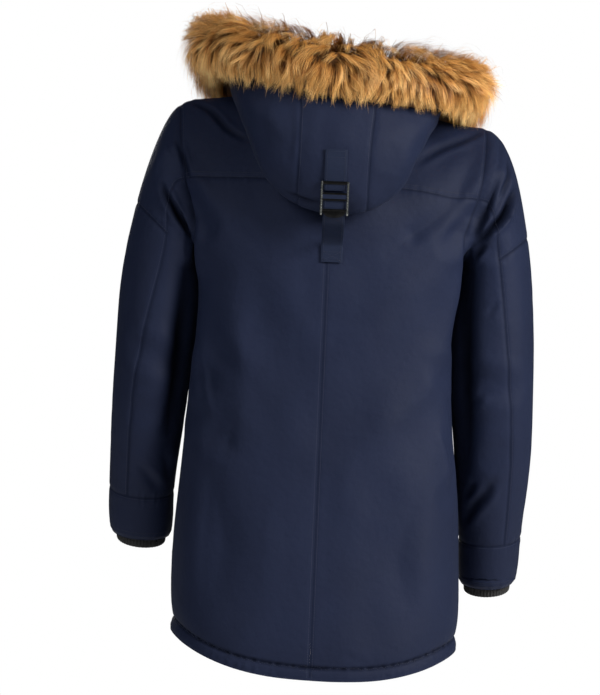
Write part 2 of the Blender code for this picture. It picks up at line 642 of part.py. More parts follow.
def roll_frames(rows):
    """Stations of the fur roll: its middle, its own direction and the way to the hood's edge."""
    steps = (2,) * (len(rows) - 1)
    centres = smooth_path([row[-1] for row in rows], steps)
    edges = smooth_path([row[-2] for row in rows], steps)
    frames = []
    for n, centre in enumerate(centres):
        along = (centres[min(n + 1, len(centres) - 1)] - centres[max(n - 1, 0)]).normalized()
        seam = edges[n] - centre
        frames.append((centre, along, (seam - along * seam.dot(along)).normalized()))
    return frames


# ---------------------------------------------------------------- hood and fur


def hood_surface(neck_rim, body):
    """Points, normals and faces of the hood's shell face, and the panel of each face."""
    rows = section_rows()
    for row in rows:
        row[0] = seat_on_rim(row[0], row[1], neck_rim)
    lines = [smooth_path(row[:-1], HOOD_STEPS) for row in rows]
    across = [smooth_path(column, (2,) * (len(rows) - 1)) for column in zip(*lines)]
    frames = roll_frames(rows)
    rolled = HOOD_STEPS[0] + HOOD_STEPS[1]
    for level in range(rolled + 1, len(across) - 1):
        row = [clear_of_line([f[0] for f in frames], p, FUR_RADIUS + HOOD_OFF_FUR) for p in across[level]]
        across[level] = [clear_of(body, p, HOOD_CLEARANCE) for p in row]
    across[-1] = [centre + seam * (FUR_RADIUS + FUR_GAP) for centre, _, seam in frames]
    points = [p for row in across for p in row]
    count = len(across[0])
    middle = (count - 1) // 2
    half = 2 * GUSSET_SECTION
    faces, panels = [], []
    for level in range(len(across) - 1):
        for j in range(count - 1):
            a = level * count + j
            faces.append((a, a + 1, a + count + 1, a + count))
            place = j + 0.5 - middle
            panels.append("hood_left" if place < -half else "hood_right" if place > half else "hood_centre")
    normals = normals_of(points, faces)
    line = [f[0] for f in frames]
    for i in range(len(points) - count, len(points)):
        inside = points[i] - normals[i] * HOOD_WALL
        points[i] += clear_of_line(line, inside, FUR_RADIUS + FUR_GAP) - inside
    return points, normals, faces, panels


def seat_on_rim(point, onward, rim):
    """The nearest point of the neck's rim, moved a seam gap towards the next point of the hood."""
    best = None
    for a, b in rim:
        along = b - a
        t = min(1.0, max(0.0, (point - a).dot(along) / along.length_squared))
        q = a + along * t
        if best is None or (q - point).length < (best - point).length:
            best = q
    return best + (onward - best).normalized() * SEAM_GAP


def clear_of(tree, point, distance):
    """The point, moved out where it comes nearer than this to the surface."""
    spot, normal, _, _ = tree.find_nearest(point)
    if (point - spot).dot(normal) < distance:
        return spot + normal * distance
    return point


def clear_of_line(line, point, distance):
    """The point, moved straight away from a line where it comes nearer to it than this."""
    feet = []
    for a, b in zip(line, line[1:]):
        t = min(1.0, max(0.0, (point - a).dot(b - a) / (b - a).length_squared))
        feet.append(a + (b - a) * t)
    foot = min(feet, key=lambda q: (point - q).length)
    return foot + (point - foot).normalized() * max(distance, (point - foot).length)


def tuft(station, place):
    """Uneven locks, from -1 to 1."""
    lock = math.sin(2.5 * station + 0.8 * math.sin(2 * place) + 0.6 * math.sin(0.7 * station))
    return 0.7 * lock + 0.3 * math.sin(3 * place + 1.1 * station)


def fur_roll(collection, fur_material):
    """The fur as a closed roll with tufts, on the hood's front edge."""
    frames = roll_frames(section_rows())
    ends = [frames[0][0] - frames[0][1] * FUR_END, frames[-1][0] + frames[-1][1] * FUR_END]
    shape = bmesh.new()
    rings = []
    for n, (centre, along, seam) in enumerate(frames):
        across = along.cross(seam)
        share = 0.72 if n in (0, len(frames) - 1) else 1.0
        ring = []
        for k in range(FUR_SIDES):
            angle = 2 * math.pi * k / FUR_SIDES
            free = smooth(0.5, 1.2, min(angle, 2 * math.pi - angle))
            radius = FUR_RADIUS * share * (1 + FUR_TUFT * free * tuft(n, angle))
            way = seam * math.cos(angle) + across * math.sin(angle)
            ring.append(shape.verts.new(centre + way * radius))
        rings.append(ring)
    for a, b in zip(rings, rings[1:]):
        for k in range(FUR_SIDES):
            m = (k + 1) % FUR_SIDES
            shape.faces.new((a[k], a[m], b[m], b[k]))
    for ring, end in ((rings[0], ends[0]), (rings[-1], ends[1])):
        tip = shape.verts.new(end)
        for k in range(FUR_SIDES):
            shape.faces.new((ring[k], ring[(k + 1) % FUR_SIDES], tip))
    bmesh.ops.recalc_face_normals(shape, faces=shape.faces)
    return finish("fur_trim", shape, collection, fur_material)


# ---------------------------------------------------------------- straps, placket, rib, buckle


def sheet_wall(name, rows, normals, thickness, collection, own_material):
    """A wall from rows of points on its outer face, with the way out at each of them."""
    points = [p for row in rows for p in row]
    outward = [n for row in normals for n in row]
    count = len(rows[0])
    faces = []
    for i in range(len(rows) - 1):
        for j in range(count - 1):
            a = i * count + j
            faces.append((a, a + 1, a + count + 1, a + count))
    return wall(name, points, outward, faces, thickness, 0.0, collection, own_material)


def spot_on(tree, x, z, side):
    """The surface's point and normal behind (side 1) or in front (side -1) at x and z."""
    place, normal, _, _ = tree.ray_cast(Vector((x, side * 1.0, z)), Vector((0, -side, 0)))
    return place, normal


def strap_rows(line, width):
    """Rows of two points from a middle line in the plane across the wearer."""
    half = width / 2
    return [[Vector((STRAP_X - half, y, z)), Vector((STRAP_X + half, y, z))] for y, z in line]


def strap_seat(tree, z):
    """Where the strap's outer face lies on a surface at this height, clear of it over the whole width."""
    spots = [spot_on(tree, STRAP_X + STRAP_WIDTH * share, z, 1)[0].y for share in np.linspace(-0.5, 0.5, 13)]
    return max(spots) + LAY_GAP + STRAP_WALL


def upper_strap(tree, collection, own_material):
    """Sewn to the hood and led behind the buckle's upper bars."""
    heights = [lerp(TAB_TOP, TAB_FOOT, k / 6) for k in range(7)]
    line = [(strap_seat(tree, z), z) for z in heights]
    normals = [[Vector((0, 1, 0))] * 2 for _ in line]
    rows = strap_rows(line, STRAP_WIDTH)
    return sheet_wall("hood_tab", rows, normals, STRAP_WALL, collection, own_material)


def lower_strap(tree, collection, own_material):
    """Led behind the buckle's lower bars and sewn to the back over the centre seam."""
    line = list(LOWER_STRAP) + [(strap_seat(tree, z), z) for z in LOWER_STRAP_LAID]
    path = [(p.y, p.z) for p in smooth_path([(0, y, z) for y, z in line], (2,) * (len(line) - 1))]
    path = [(max(y, strap_seat(tree, z) + 0.0003), z) for y, z in path]
    normals = []
    for i in range(len(path)):
        a, b = path[max(i - 1, 0)], path[min(i + 1, len(path) - 1)]
        normals.append([Vector((0, a[1] - b[1], b[0] - a[0])).normalized()] * 2)
    rows = strap_rows(path, STRAP_WIDTH)
    return sheet_wall("back_tab", rows, normals, STRAP_WALL, collection, own_material)


def placket(tree, collection, own_material):
    """The flap down the middle of the front that covers the fastening."""
    top = spot_on(tree, 0.0, -0.084, -1)[0].z
    rows, normals = [], []
    chest = np.linspace(top, PLACKET_CHEST, PLACKET_ROWS[0] + 1)
    skirt = np.linspace(PLACKET_CHEST, PLACKET_FOOT, PLACKET_ROWS[1] + 1)
    for z in [*chest, *skirt[1:]]:
        spots = [spot_on(tree, x, z, -1) for x in PLACKET_COLUMNS]
        rows.append([place + normal * (PLACKET_LAY + PLACKET_WALL) for place, normal in spots])
        normals.append([normal for _, normal in spots])
    return sheet_wall("front_placket", rows, normals, PLACKET_WALL, collection, own_material)


def rib_cuff(side_name, side, wrist, tree, collection, own_material):
    """Knitted rib: its upper edge spreads to the cuff, and the rest lies close to the wrist."""
    columns = 2 * RIB_WAVES
    rows = []
    for along, share, wave in (
        (CUFF_LENGTH - RIB_INSIDE, None, 0.0),
        (CUFF_LENGTH - RIB_INSIDE + 0.010, RIB_SHARE + 0.02, 1.0),
        (CUFF_LENGTH - 0.004, RIB_SHARE, 1.0),
        (CUFF_LENGTH + RIB_SHOWN, RIB_SHARE, 1.0),
    ):
        axis = (sleeve_point(wrist, side, 0, 1, along) + sleeve_point(wrist, side, math.pi, 1, along)) / 2
        row = []
        for c in range(columns):
            angle = 2 * math.pi * c / columns
            edge = sleeve_point(wrist, side, angle, share or 1.0, along)
            way = (edge - axis).normalized()
            if share is None:
                inside = tree.ray_cast(axis, way)[0]
                edge = inside - way * (SEAM_GAP + SHELL_WALL / math.cos(math.radians(8)))
            row.append((edge, edge - way * (RIB_DEPTH * wave * (c % 2)), way))
        rows.append(row)
    shape = bmesh.new()
    outer = [[shape.verts.new(p[1]) for p in row] for row in rows]
    inner = [[shape.verts.new(p[0] - p[2] * RIB_WALL) for p in row] for row in rows]
    for c in range(columns):
        d = (c + 1) % columns
        for a, b in zip(outer, outer[1:]):
            shape.faces.new((a[c], a[d], b[d], b[c]))
        for a, b in zip(inner, inner[1:]):
            shape.faces.new((a[c], b[c], b[d], a[d]))
        shape.faces.new((outer[0][c], inner[0][c], inner[0][d], outer[0][d]))
        shape.faces.new((outer[-1][c], outer[-1][d], inner[-1][d], inner[-1][c]))
    bmesh.ops.recalc_face_normals(shape, faces=shape.faces)
    return finish(f"rib_cuff_{side_name}", shape, collection, own_material)


def buckle(collection, own_material):
    """Ladder buckle: two rails, three bars and a rounded lip, in one plate."""
    top, foot = Vector((0, *BUCKLE_TOP)), Vector((0, *BUCKLE_FOOT))
    up = (top - foot).normalized()
    out = Vector((1, 0, 0)).cross(up) * -1
    shape = bmesh.new()

    def spot(x, height):
        p = foot + up * height
        return shape.verts.new((STRAP_X + x, p.y, p.z))

    grid = [[spot(x, height) for x in BUCKLE_COLUMNS] for height in BUCKLE_LEVELS]
    for i in range(len(BUCKLE_LEVELS) - 1):
        for j in range(3):
            if j != 1 or i in BUCKLE_BARS:
                shape.faces.new((grid[i][j], grid[i][j + 1], grid[i + 1][j + 1], grid[i + 1][j]))
    shape.faces.new((grid[1][1], spot(-0.008, 0.0008), spot(0.0, 0.0), spot(0.008, 0.0008), grid[1][2]))
    bmesh.ops.recalc_face_normals(shape, faces=shape.faces)
    obj = finish("buckle", shape, collection, own_material)
    plate = obj.modifiers.new("thickness", "SOLIDIFY")
    plate.thickness = BUCKLE_THICK
    plate.offset = 0
    edge = obj.modifiers.new("edge", "BEVEL")
    edge.width = 0.0006
    edge.segments = 1
    edge.limit_method = "ANGLE"
    return obj


# ---------------------------------------------------------------- folds


def press_folds(points, normals, tree):
    """The points of the body and sleeves with the large folds pressed in, a low ridge beside each."""
    lines = []
    for fold in FOLDS:
        ends = [Vector((fold[key][0], fold["face"] * FOLD_SIDE, fold[key][1])) for key in ("a", "b")]
        start, end = (tree.find_nearest(p)[0] for p in ends)
        lines.append((start, end - start, fold["width"], fold["depth"]))
    pressed = []
    for point, normal in zip(points, normals):
        depth = 0.0
        for start, along, width, deepest in lines:
            t = min(1.0, max(0.0, (point - start).dot(along) / along.length_squared))
            off = (point - start - along * t).length / width
            profile = math.exp(-off * off) - FOLD_RIDGE * math.exp(-((off - 1.7) ** 2) * 2)
            depth += deepest * profile * (1 - 0.5 * abs(2 * t - 1))
        pressed.append(point - normal * depth)
    return pressed


def main():
    clear_scene()
    parka = bpy.data.collections.new("fur_trimmed_parka")
    bpy.context.scene.collection.children.link(parka)
    shell = material("navy_shell", (0.021, 0.027, 0.061), 0.6)
    webbing = material("navy_webbing", (0.024, 0.030, 0.066), 0.55)
    rib = material("black_rib", (0.008, 0.008, 0.010), 0.9)
    fur = material("golden_fur", (0.42, 0.23, 0.09), 0.8)
    metal = material("gunmetal", (0.16, 0.16, 0.17), 0.3, 1.0)

    cage = Cage()
    armholes = add_body(cage)
    add_sleeve(cage, armholes[1], LEFT_RINGS, 1, "left")
    add_sleeve(cage, armholes[-1], RIGHT_RINGS, -1, "right")
    points, faces, panels = rounded(cage, 1)
    smooth_tree = BVHTree.FromPolygons(points, faces)
    points = press_folds(points, normals_of(points, faces), smooth_tree)
    normals = normals_of(points, faces)
    tree = BVHTree.FromPolygons(points, faces)
    for panel in sorted(set(panels)):
        own = [f for f, p in zip(faces, panels) if p == panel]
        wall(panel, points, normals, own, SHELL_WALL, SEAM_GAP / 2, parka, shell)

    rim = [(points[a], points[b]) for a, b in boundary_edges(faces) if points[a].z > -0.12]
    hood_points, hood_normals, hood_faces, hood_panels = hood_surface(rim, tree)
    hood_tree = BVHTree.FromPolygons(hood_points, hood_faces)
    for panel in ("hood_left", "hood_centre", "hood_right"):
        own = [f for f, p in zip(hood_faces, hood_panels) if p == panel]
        wall(panel, hood_points, hood_normals, own, HOOD_WALL, SEAM_GAP / 2, parka, shell)
    fur_roll(parka, fur)
    upper_strap(hood_tree, parka, webbing)
    lower_strap(tree, parka, webbing)
    buckle(parka, metal)
    placket(tree, parka, shell)
    rib_cuff("left", 1, LEFT_RINGS[-1], tree, parka, rib)
    rib_cuff("right", -1, RIGHT_RINGS[-1], tree, parka, rib)


main()
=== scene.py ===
"""Looks of the fur-trimmed parka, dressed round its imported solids, in the hollow form that it has when worn.

Metres, +Z up. -Y is the wearer's front and +X the wearer's left. The main sizes, tables and forms are those
of the solids; on top of them come a finer surface, folds, seams, stitches, pile and cloth.
"""

import math

import bpy
import numpy as np
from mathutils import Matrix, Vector
from mathutils.bvhtree import BVHTree
from mathutils.kdtree import KDTree


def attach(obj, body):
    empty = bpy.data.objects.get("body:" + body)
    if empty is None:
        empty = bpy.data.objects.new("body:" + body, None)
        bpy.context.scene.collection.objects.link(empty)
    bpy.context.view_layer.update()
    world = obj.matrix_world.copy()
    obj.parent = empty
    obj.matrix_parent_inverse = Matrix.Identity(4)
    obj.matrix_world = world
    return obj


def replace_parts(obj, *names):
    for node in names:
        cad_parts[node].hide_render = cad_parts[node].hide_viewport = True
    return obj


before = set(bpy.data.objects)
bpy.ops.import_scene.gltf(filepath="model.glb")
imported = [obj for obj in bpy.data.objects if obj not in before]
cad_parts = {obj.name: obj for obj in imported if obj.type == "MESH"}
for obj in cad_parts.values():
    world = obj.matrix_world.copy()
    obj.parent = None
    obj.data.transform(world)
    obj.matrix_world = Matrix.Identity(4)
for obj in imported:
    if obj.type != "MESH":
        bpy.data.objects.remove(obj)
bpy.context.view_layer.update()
rng = np.random.default_rng(11)


def table(columns, *rows):
    """The rows as dicts, whose keys are the words of columns."""
    return [dict(zip(columns.split(), row)) for row in rows]


def crease(face, width, depth, lip, *path, dark=0, on=None):
    """A crease on the back (face 1) or the front (-1): its half width and depth, how much one lip stands up,
    its path of (x, z), how much shade is painted into the cloth's colour in its depth, and the part of the
    coat that it stays on."""
    return dict(face=face, path=path, width=width, depth=depth, lip=lip, dark=dark, on=on)


# ---- driving dimensions, in metres ----
SHELL_WALL = 0.004  # padded shell of the body and sleeves
HOOD_WALL = 0.003
PLACKET_WALL = 0.003
RIB_WALL = 0.0025
STRAP_WALL = 0.0022
SEAM_GAP = 0.0003  # free gap between two pieces at a seam
LAY_GAP = 0.0004  # free gap under a piece that lies on another
SHOULDER_TILT = 0.058  # rise of the shoulder line towards the wearer's left, per metre
TILT_TOP = -0.10  # the tilt is whole above this height
TILT_FOOT = -0.42  # and gone below this one
FALL_TOP = -0.45  # the slant and the tail of the hem begin below this height
FALL_FOOT = -0.78  # and are whole below this one
HEM_BACK_DROP = 0.046  # the tail hangs this much lower than the sides
HEM_FRONT_DROP = 0.008
HEM_SLANT = 0.030  # the hem rises this much per metre towards the wearer's left
HEM_GROOVE = 0.0065  # depth of the crease that the hem's stitching draws in
STRAP_WIDTH = 0.030
STRAP_X = -0.007  # the straps lie a little to the wearer's right of the centre seam

# ---- body shell ----
# columns of a half ring, from centre front (0) round the left side (7) to centre back (14)
FRONT_SHARES = (0.0, 0.125, 0.28, 0.43, 0.575, 0.72, 0.86, 1.0)  # of the quarter's length, from the front
BACK_SHARES = (0.86, 0.72, 0.575, 0.43, 0.29, 0.15, 0.0)  # the same, from the back
HALF = 14
RING = 2 * HALF
FRONT_EDGE = 5  # column where the armhole leaves the side of the body, in front
BACK_EDGE = 9  # and behind
SQUARENESS = 2.7  # superellipse power of the rings
# height of the side seam, half widths, depths, and the hollow that the arm presses in
BODY_RINGS = table(
    "z left right back front hollow lift pinch",
    (-0.789, 0.203, 0.212, 0.148, 0.156, 0.0, 0.0, 0.0),
    (-0.789, 0.203, 0.212, 0.148, 0.156, 0.0, 0.017, 1.0),
    (-0.789, 0.204, 0.213, 0.149, 0.157, 0.0, 0.033, 0.0),
    (-0.67, 0.204, 0.211, 0.143, 0.156, 0.01, 0.0, 0.0),
    (-0.57, 0.203, 0.209, 0.138, 0.155, 0.03, 0.0, 0.0),
    (-0.47, 0.205, 0.206, 0.134, 0.153, 0.09, 0.0, 0.0),
    (-0.385, 0.202, 0.204, 0.132, 0.15, 0.15, 0.0, 0.0),
    (-0.305, 0.2, 0.207, 0.133, 0.147, 0.17, 0.0, 0.0),
    (-0.228, 0.204, 0.211, 0.134, 0.143, 0.1, 0.0, 0.0),
)
HOLLOW_DEPTH = 0.062  # how far the hollow runs fore and aft
UNDERARM_DROP = 0.010  # the underarm point lies lower than the ring
# rows of the upper body, from the armhole's foot to the shoulder seam: its two edges and its centre line; the
# points of the right side are given as on the left, and mirrored
BACK_ROWS = table(
    "left right centre",
    ((0.203, 0.083, -0.182), (0.209, 0.083, -0.182), (0.0, 0.135, -0.188)),
    ((0.208, 0.081, -0.157), (0.217, 0.08, -0.145), (0.0, 0.132, -0.152)),
    ((0.215, 0.067, -0.106), (0.223, 0.066, -0.098), (0.0, 0.124, -0.104)),
    ((0.218, 0.038, -0.06), (0.226, 0.038, -0.052), (0.0, 0.106, -0.056)),
)
FRONT_ROWS = table(
    "left right centre",
    ((0.2, -0.078, -0.182), (0.205, -0.078, -0.182), (0.0, -0.144, -0.192)),
    ((0.206, -0.074, -0.144), (0.213, -0.074, -0.142), (0.0, -0.142, -0.16)),
    ((0.212, -0.06, -0.104), (0.22, -0.06, -0.104), (0.0, -0.135, -0.13)),
    ((0.216, -0.034, -0.063), (0.224, -0.034, -0.062), (0.0, -0.12, -0.102)),
)
# shoulder seam from the tip to the neck, then the neckline to the centre
SHOULDER = table(
    "left right",
    ((0.221, 0.002, -0.026), (0.228, 0.002, -0.02)),
    ((0.174, 0.004, -0.021), (0.175, 0.004, -0.025)),
    ((0.127, 0.006, -0.01), (0.127, 0.006, -0.01)),
    ((0.082, 0.008, 0.002), (0.082, 0.008, 0.002)),
)
BACK_NECK = ((0.064, 0.056, -0.001), (0.0, 0.078, -0.004))
FRONT_NECK = ((0.060, -0.068, -0.046), (0.0, -0.098, -0.078))
UPPER_ROWS = len(BACK_ROWS) + 1
YOKE_ROW = 2  # the yoke seam follows this row of the upper body
NECK_ABOVE = -0.12  # a free edge of the shell over this height is the neck

# ---- sleeves ----
SLEEVE_COLUMNS = 14
BACK_SEAM = 3  # column of the seam between the outer and the under sleeve, behind
FRONT_SEAM = 11
PANEL_RING = 3  # ring of the seam across the outer sleeve
SLEEVE_RADIUS = 0.066  # on the whole, for the size of the weave
# rings from the sleeve head to the wrist: inner and outer point as (x, z), centre y, half depth, seam angle
# and how far the ring leans with the forearm
LEFT_RINGS = table(
    "inner outer y depth seam lean",
    ((0.189, -0.24), (0.247, -0.071), 0.002, 0.086, 88, 0),
    ((0.187, -0.25), (0.263, -0.122), 0.002, 0.083, 88, 0),
    ((0.18, -0.264), (0.278, -0.17), 0.002, 0.079, 98, 0),
    ((0.175, -0.292), (0.291, -0.245), 0.003, 0.074, 92, 0),
    ((0.175, -0.35), (0.297, -0.325), 0.005, 0.07, 78, 0),
    ((0.181, -0.412), (0.298, -0.4), 0.003, 0.067, 66, 3),
    ((0.19, -0.47), (0.301, -0.465), -0.008, 0.062, 64, 9),
    ((0.199, -0.535), (0.301, -0.532), -0.034, 0.056, 64, 14),
    ((0.204, -0.598), (0.302, -0.592), -0.062, 0.049, 65, 17),
)
RIGHT_RINGS = table(
    "inner outer y depth seam lean",
    ((0.195, -0.248), (0.255, -0.076), 0.002, 0.086, 88, 0),
    ((0.193, -0.262), (0.277, -0.13), 0.002, 0.083, 88, 0),
    ((0.189, -0.28), (0.293, -0.204), 0.002, 0.079, 88, 0),
    ((0.181, -0.318), (0.303, -0.276), 0.004, 0.074, 80, 0),
    ((0.178, -0.372), (0.305, -0.352), 0.007, 0.07, 72, 0),
    ((0.183, -0.435), (0.307, -0.426), 0.004, 0.066, 66, 2),
    ((0.193, -0.505), (0.309, -0.5), -0.012, 0.061, 64, 8),
    ((0.2035, -0.58), (0.308, -0.574), -0.04, 0.055, 64, 12),
    ((0.211, -0.65), (0.303, -0.644), -0.068, 0.049, 65, 15),
)
CUFF_LENGTH = 0.060
CUFF_TAPER = 0.97
# rings of a cuff band under the sleeve: share of its length and share of the wrist's width
CUFF_RINGS = ((0.42, 1.01), (0.82, CUFF_TAPER), (1.0, CUFF_TAPER - 0.05))
RIB_SHARE = 0.73  # the knitted rib is this wide, of the cuff's opening
RIB_INSIDE = 0.026  # length of rib hidden in the cuff
RIB_SHOWN = 0.014
RIBS = 44  # raised wales round a cuff
WALE = 0.0008  # height of a wale

# ---- hood and fur ----
# one row for each section of the hood, from centre back (first) over the shoulder to centre front (last), on
# the wearer's left: the shell face from the neck seam over the roll, down the under side, round the fold and
# up the outer side; then the middle of the fur roll and the way from there to the hood's edge
HOOD_SECTIONS = table(
    "neck rise roll under low fold bulge outer fur seam",
    (
        (0.0, 0.078, -0.004), (0.0, 0.073, 0.006), (0.0, 0.082, 0.016), (0.0, 0.112, -0.045),
        (0.0, 0.141, -0.125), (0.0, 0.166, -0.19), (0.0, 0.2, -0.164), (0.0, 0.213, -0.095),
        (0.0, 0.196, 0.006), (0.0, -0.05, -1.0),
    ),
    (
        (0.028, 0.074, -0.003), (0.027, 0.07, 0.007), (0.031, 0.079, 0.017), (0.038, 0.108, -0.044),
        (0.046, 0.137, -0.12), (0.048, 0.162, -0.183), (0.049, 0.194, -0.156), (0.049, 0.207, -0.092),
        (0.052, 0.19, 0.009), (0.0, -0.05, -1.0),
    ),
    (
        (0.05, 0.064, -0.002), (0.048, 0.06, 0.008), (0.056, 0.068, 0.018), (0.074, 0.098, -0.038),
        (0.089, 0.127, -0.092), (0.094, 0.148, -0.147), (0.096, 0.18, -0.127), (0.095, 0.192, -0.074),
        (0.103, 0.174, 0.012), (-0.08, -0.1, -1.0),
    ),
    (
        (0.068, 0.048, -0.001), (0.065, 0.046, 0.009), (0.075, 0.054, 0.019), (0.097, 0.084, -0.028),
        (0.111, 0.108, -0.066), (0.116, 0.124, -0.098), (0.122, 0.15, -0.085), (0.129, 0.158, -0.05),
        (0.146, 0.142, 0.018), (-0.3, -0.15, -0.95),
    ),
    (
        (0.078, 0.028, 0.001), (0.075, 0.028, 0.01), (0.087, 0.034, 0.02), (0.108, 0.056, -0.006),
        (0.127, 0.07, -0.03), (0.137, 0.082, -0.044), (0.144, 0.096, -0.04), (0.148, 0.1, -0.02),
        (0.174, 0.094, 0.022), (-0.62, -0.05, -0.78),
    ),
    (
        (0.082, 0.008, 0.002), (0.079, 0.008, 0.011), (0.09, 0.01, 0.02), (0.106, 0.012, 0.006),
        (0.126, 0.014, 0.0), (0.142, 0.016, -0.005), (0.152, 0.018, -0.003), (0.158, 0.019, 0.001),
        (0.182, 0.028, 0.026), (-0.8, -0.05, -0.6),
    ),
    (
        (0.074, -0.036, -0.02), (0.071, -0.035, -0.01), (0.08, -0.042, -0.004), (0.096, -0.052, -0.02),
        (0.11, -0.062, -0.028), (0.122, -0.07, -0.034), (0.128, -0.074, -0.035), (0.134, -0.073, -0.036),
        (0.166, -0.064, -0.012), (-0.8, -0.1, -0.6),
    ),
    (
        (0.034, -0.088, -0.066), (0.032, -0.09, -0.056), (0.037, -0.099, -0.052), (0.046, -0.11, -0.066),
        (0.056, -0.118, -0.074), (0.066, -0.124, -0.079), (0.072, -0.129, -0.081), (0.078, -0.132, -0.081),
        (0.112, -0.144, -0.056), (-0.75, 0.15, -0.65),
    ),
    (
        (0.009, -0.097, -0.077), (0.009, -0.1, -0.067), (0.01, -0.109, -0.063), (0.015, -0.119, -0.076),
        (0.02, -0.126, -0.083), (0.024, -0.131, -0.088), (0.027, -0.135, -0.089), (0.029, -0.138, -0.088),
        (0.056, -0.168, -0.074), (-0.55, 0.75, -0.35),
    ),
)
HOOD_LINE = ("neck", "rise", "roll", "under", "low", "fold", "bulge", "outer", "edge", "fur")
# for each column of the table: how far it has slipped to the wearer's right, and its further rise for each
# metre to the left
HOOD_SLIPS = (0.0, 0.0, 0.0005, 0.0015, 0.003, 0.004, 0.004, 0.005, 0.008, 0.008)
HOOD_LIFTS = (0.0, 0.0, 0.0, 0.0, 0.0, 0.0, 0.01, 0.03, 0.07, 0.07)
HOOD_STEPS = (1, 1, 2, 2, 2, 2, 2, 1)  # steps of the surface from one column of the table to the next
GUSSET_SECTION = 1  # the hood's two seams follow this section on each side
HOOD_OFF_FUR = 0.0045  # the shell face keeps this far under the fur roll, up to its edge
HOOD_CLEARANCE = 0.003  # the hood lies this far off the body, its own wall included outside
FUR_RADIUS = 0.037  # to the tips of the locks, evened out
FUR_GAP = 0.0006  # between the roll and the hood's edge

# ---- folds ----
# pressed in along a line with ends a and b as (x, z), on the back (face 1) or the front (face -1)
FOLD_SIDE = 0.12  # the ends lie on the surface nearest to this y
FOLD_RIDGE = 0.4  # share of the depth that is raised beside a fold
FOLDS = table(
    "name face a b width depth",
    ("armpit_right", 1, (-0.275, -0.13), (-0.19, -0.222), 0.017, 0.008),
    ("armpit_right_low", 1, (-0.245, -0.232), (-0.205, -0.215), 0.013, 0.004),
    ("armpit_left", 1, (0.24, -0.115), (0.19, -0.215), 0.016, 0.007),
    ("drape_right", 1, (-0.215, -0.15), (-0.05, -0.262), 0.03, 0.006),
    ("waist_right", 1, (-0.175, -0.33), (-0.015, -0.48), 0.032, 0.006),
    ("waist_low_right", 1, (-0.195, -0.43), (-0.09, -0.56), 0.03, 0.004),
    ("blade_left", 1, (0.13, -0.27), (0.055, -0.4), 0.03, 0.005),
    ("side_left", 1, (0.18, -0.29), (0.15, -0.5), 0.026, 0.006),
    ("dent_left", 1, (0.14, -0.5), (0.115, -0.512), 0.022, 0.004),
    ("skirt_left", 1, (0.11, -0.56), (0.12, -0.74), 0.034, 0.004),
    ("skirt_right", 1, (-0.1, -0.6), (-0.095, -0.75), 0.034, 0.004),
    ("elbow_left", 1, (0.285, -0.39), (0.195, -0.425), 0.018, 0.006),
    ("forearm_left", 1, (0.275, -0.5), (0.215, -0.47), 0.017, 0.004),
    ("elbow_right", 1, (-0.29, -0.43), (-0.2, -0.4), 0.018, 0.006),
    ("forearm_right", 1, (-0.222, -0.58), (-0.27, -0.54), 0.017, 0.005),
    ("chest_left", -1, (0.2, -0.15), (0.09, -0.27), 0.026, 0.006),
    ("chest_right", -1, (-0.205, -0.165), (-0.08, -0.26), 0.028, 0.005),
    ("belly_left", -1, (0.175, -0.4), (0.08, -0.52), 0.03, 0.005),
    ("belly_right", -1, (-0.18, -0.44), (-0.075, -0.53), 0.03, 0.006),
    ("crook_left", -1, (0.28, -0.38), (0.195, -0.42), 0.017, 0.008),
    ("crook_right", -1, (-0.285, -0.41), (-0.2, -0.44), 0.017, 0.008),
)

# ---- straps, buckle and placket ----
TAB_TOP = -0.104  # the upper strap is sewn to the hood here
TAB_FOOT = -0.160
BUCKLE_TOP = (0.2100, -0.1450)  # (y, z) on the middle of the buckle's thickness
BUCKLE_FOOT = (0.1981, -0.1965)
BUCKLE_THICK = 0.0024
BUCKLE_COLUMNS = (-0.0195, -0.0163, 0.0163, 0.0195)
BUCKLE_LEVELS = (0.0032, 0.0096, 0.0122, 0.0237, 0.0346, 0.0461, 0.0506)  # up from its foot
BUCKLE_BARS = (1, 3, 5)  # spans between levels that a bar fills
BUCKLE_LIP = ((0.0135, 0.0042), (0.008, 0.0008))  # from its outside towards its point: across and up
# middle line of the lower strap as (y, z), from behind the buckle to its sewn end on the back
LOWER_STRAP = (
    (0.2030, -0.1665), (0.2000, -0.180), (0.1966, -0.193),
    (0.1880, -0.2035), (0.1700, -0.2125), (0.1520, -0.220),
)
LOWER_STRAP_LAID = (-0.232, -0.243, -0.255)  # heights where it lies on the back
# heights of the stitch rows across the two straps
TAB_ROWS = (TAB_TOP - 0.003, TAB_TOP - 0.011)
LOWER_ROWS = (-0.2525, -0.2405)
PLACKET_LAY = 0.0009  # free gap under the flap
PLACKET_COLUMNS = (0.034, 0.025, 0.0, -0.025, -0.034)
PLACKET_FOOT = -0.785
PLACKET_LEVELS = 90
PLACKET_EDGE = 0.0012  # width of its rounded edges
PLACKET_PAD = 0.0006

# ---- finer forms of the scene ----
FINE = 4  # levels of the visible shell; its inside is one level coarser
HIDDEN = 3  # the same for the plain panels, which the photo doesn't show
PLAIN_PANELS = ("front_left", "front_right")
# unevenness of the cloth, as plane waves: wavelengths, how many, seed, and how much longer they run each way
DRAPE = ((0.06, 0.15), 18, 3, (1.0, 1.0, 1.9))
CRUMPLE = ((0.018, 0.045), 22, 5, (1.0, 1.0, 1.5))
CRUMPLED_PATCHES = ((0.12, 0.25), 8, 9)
HOOD_DRAPE = ((0.04, 0.10), 14, 21)
HOOD_CRUMPLE = ((0.015, 0.04), 18, 22)
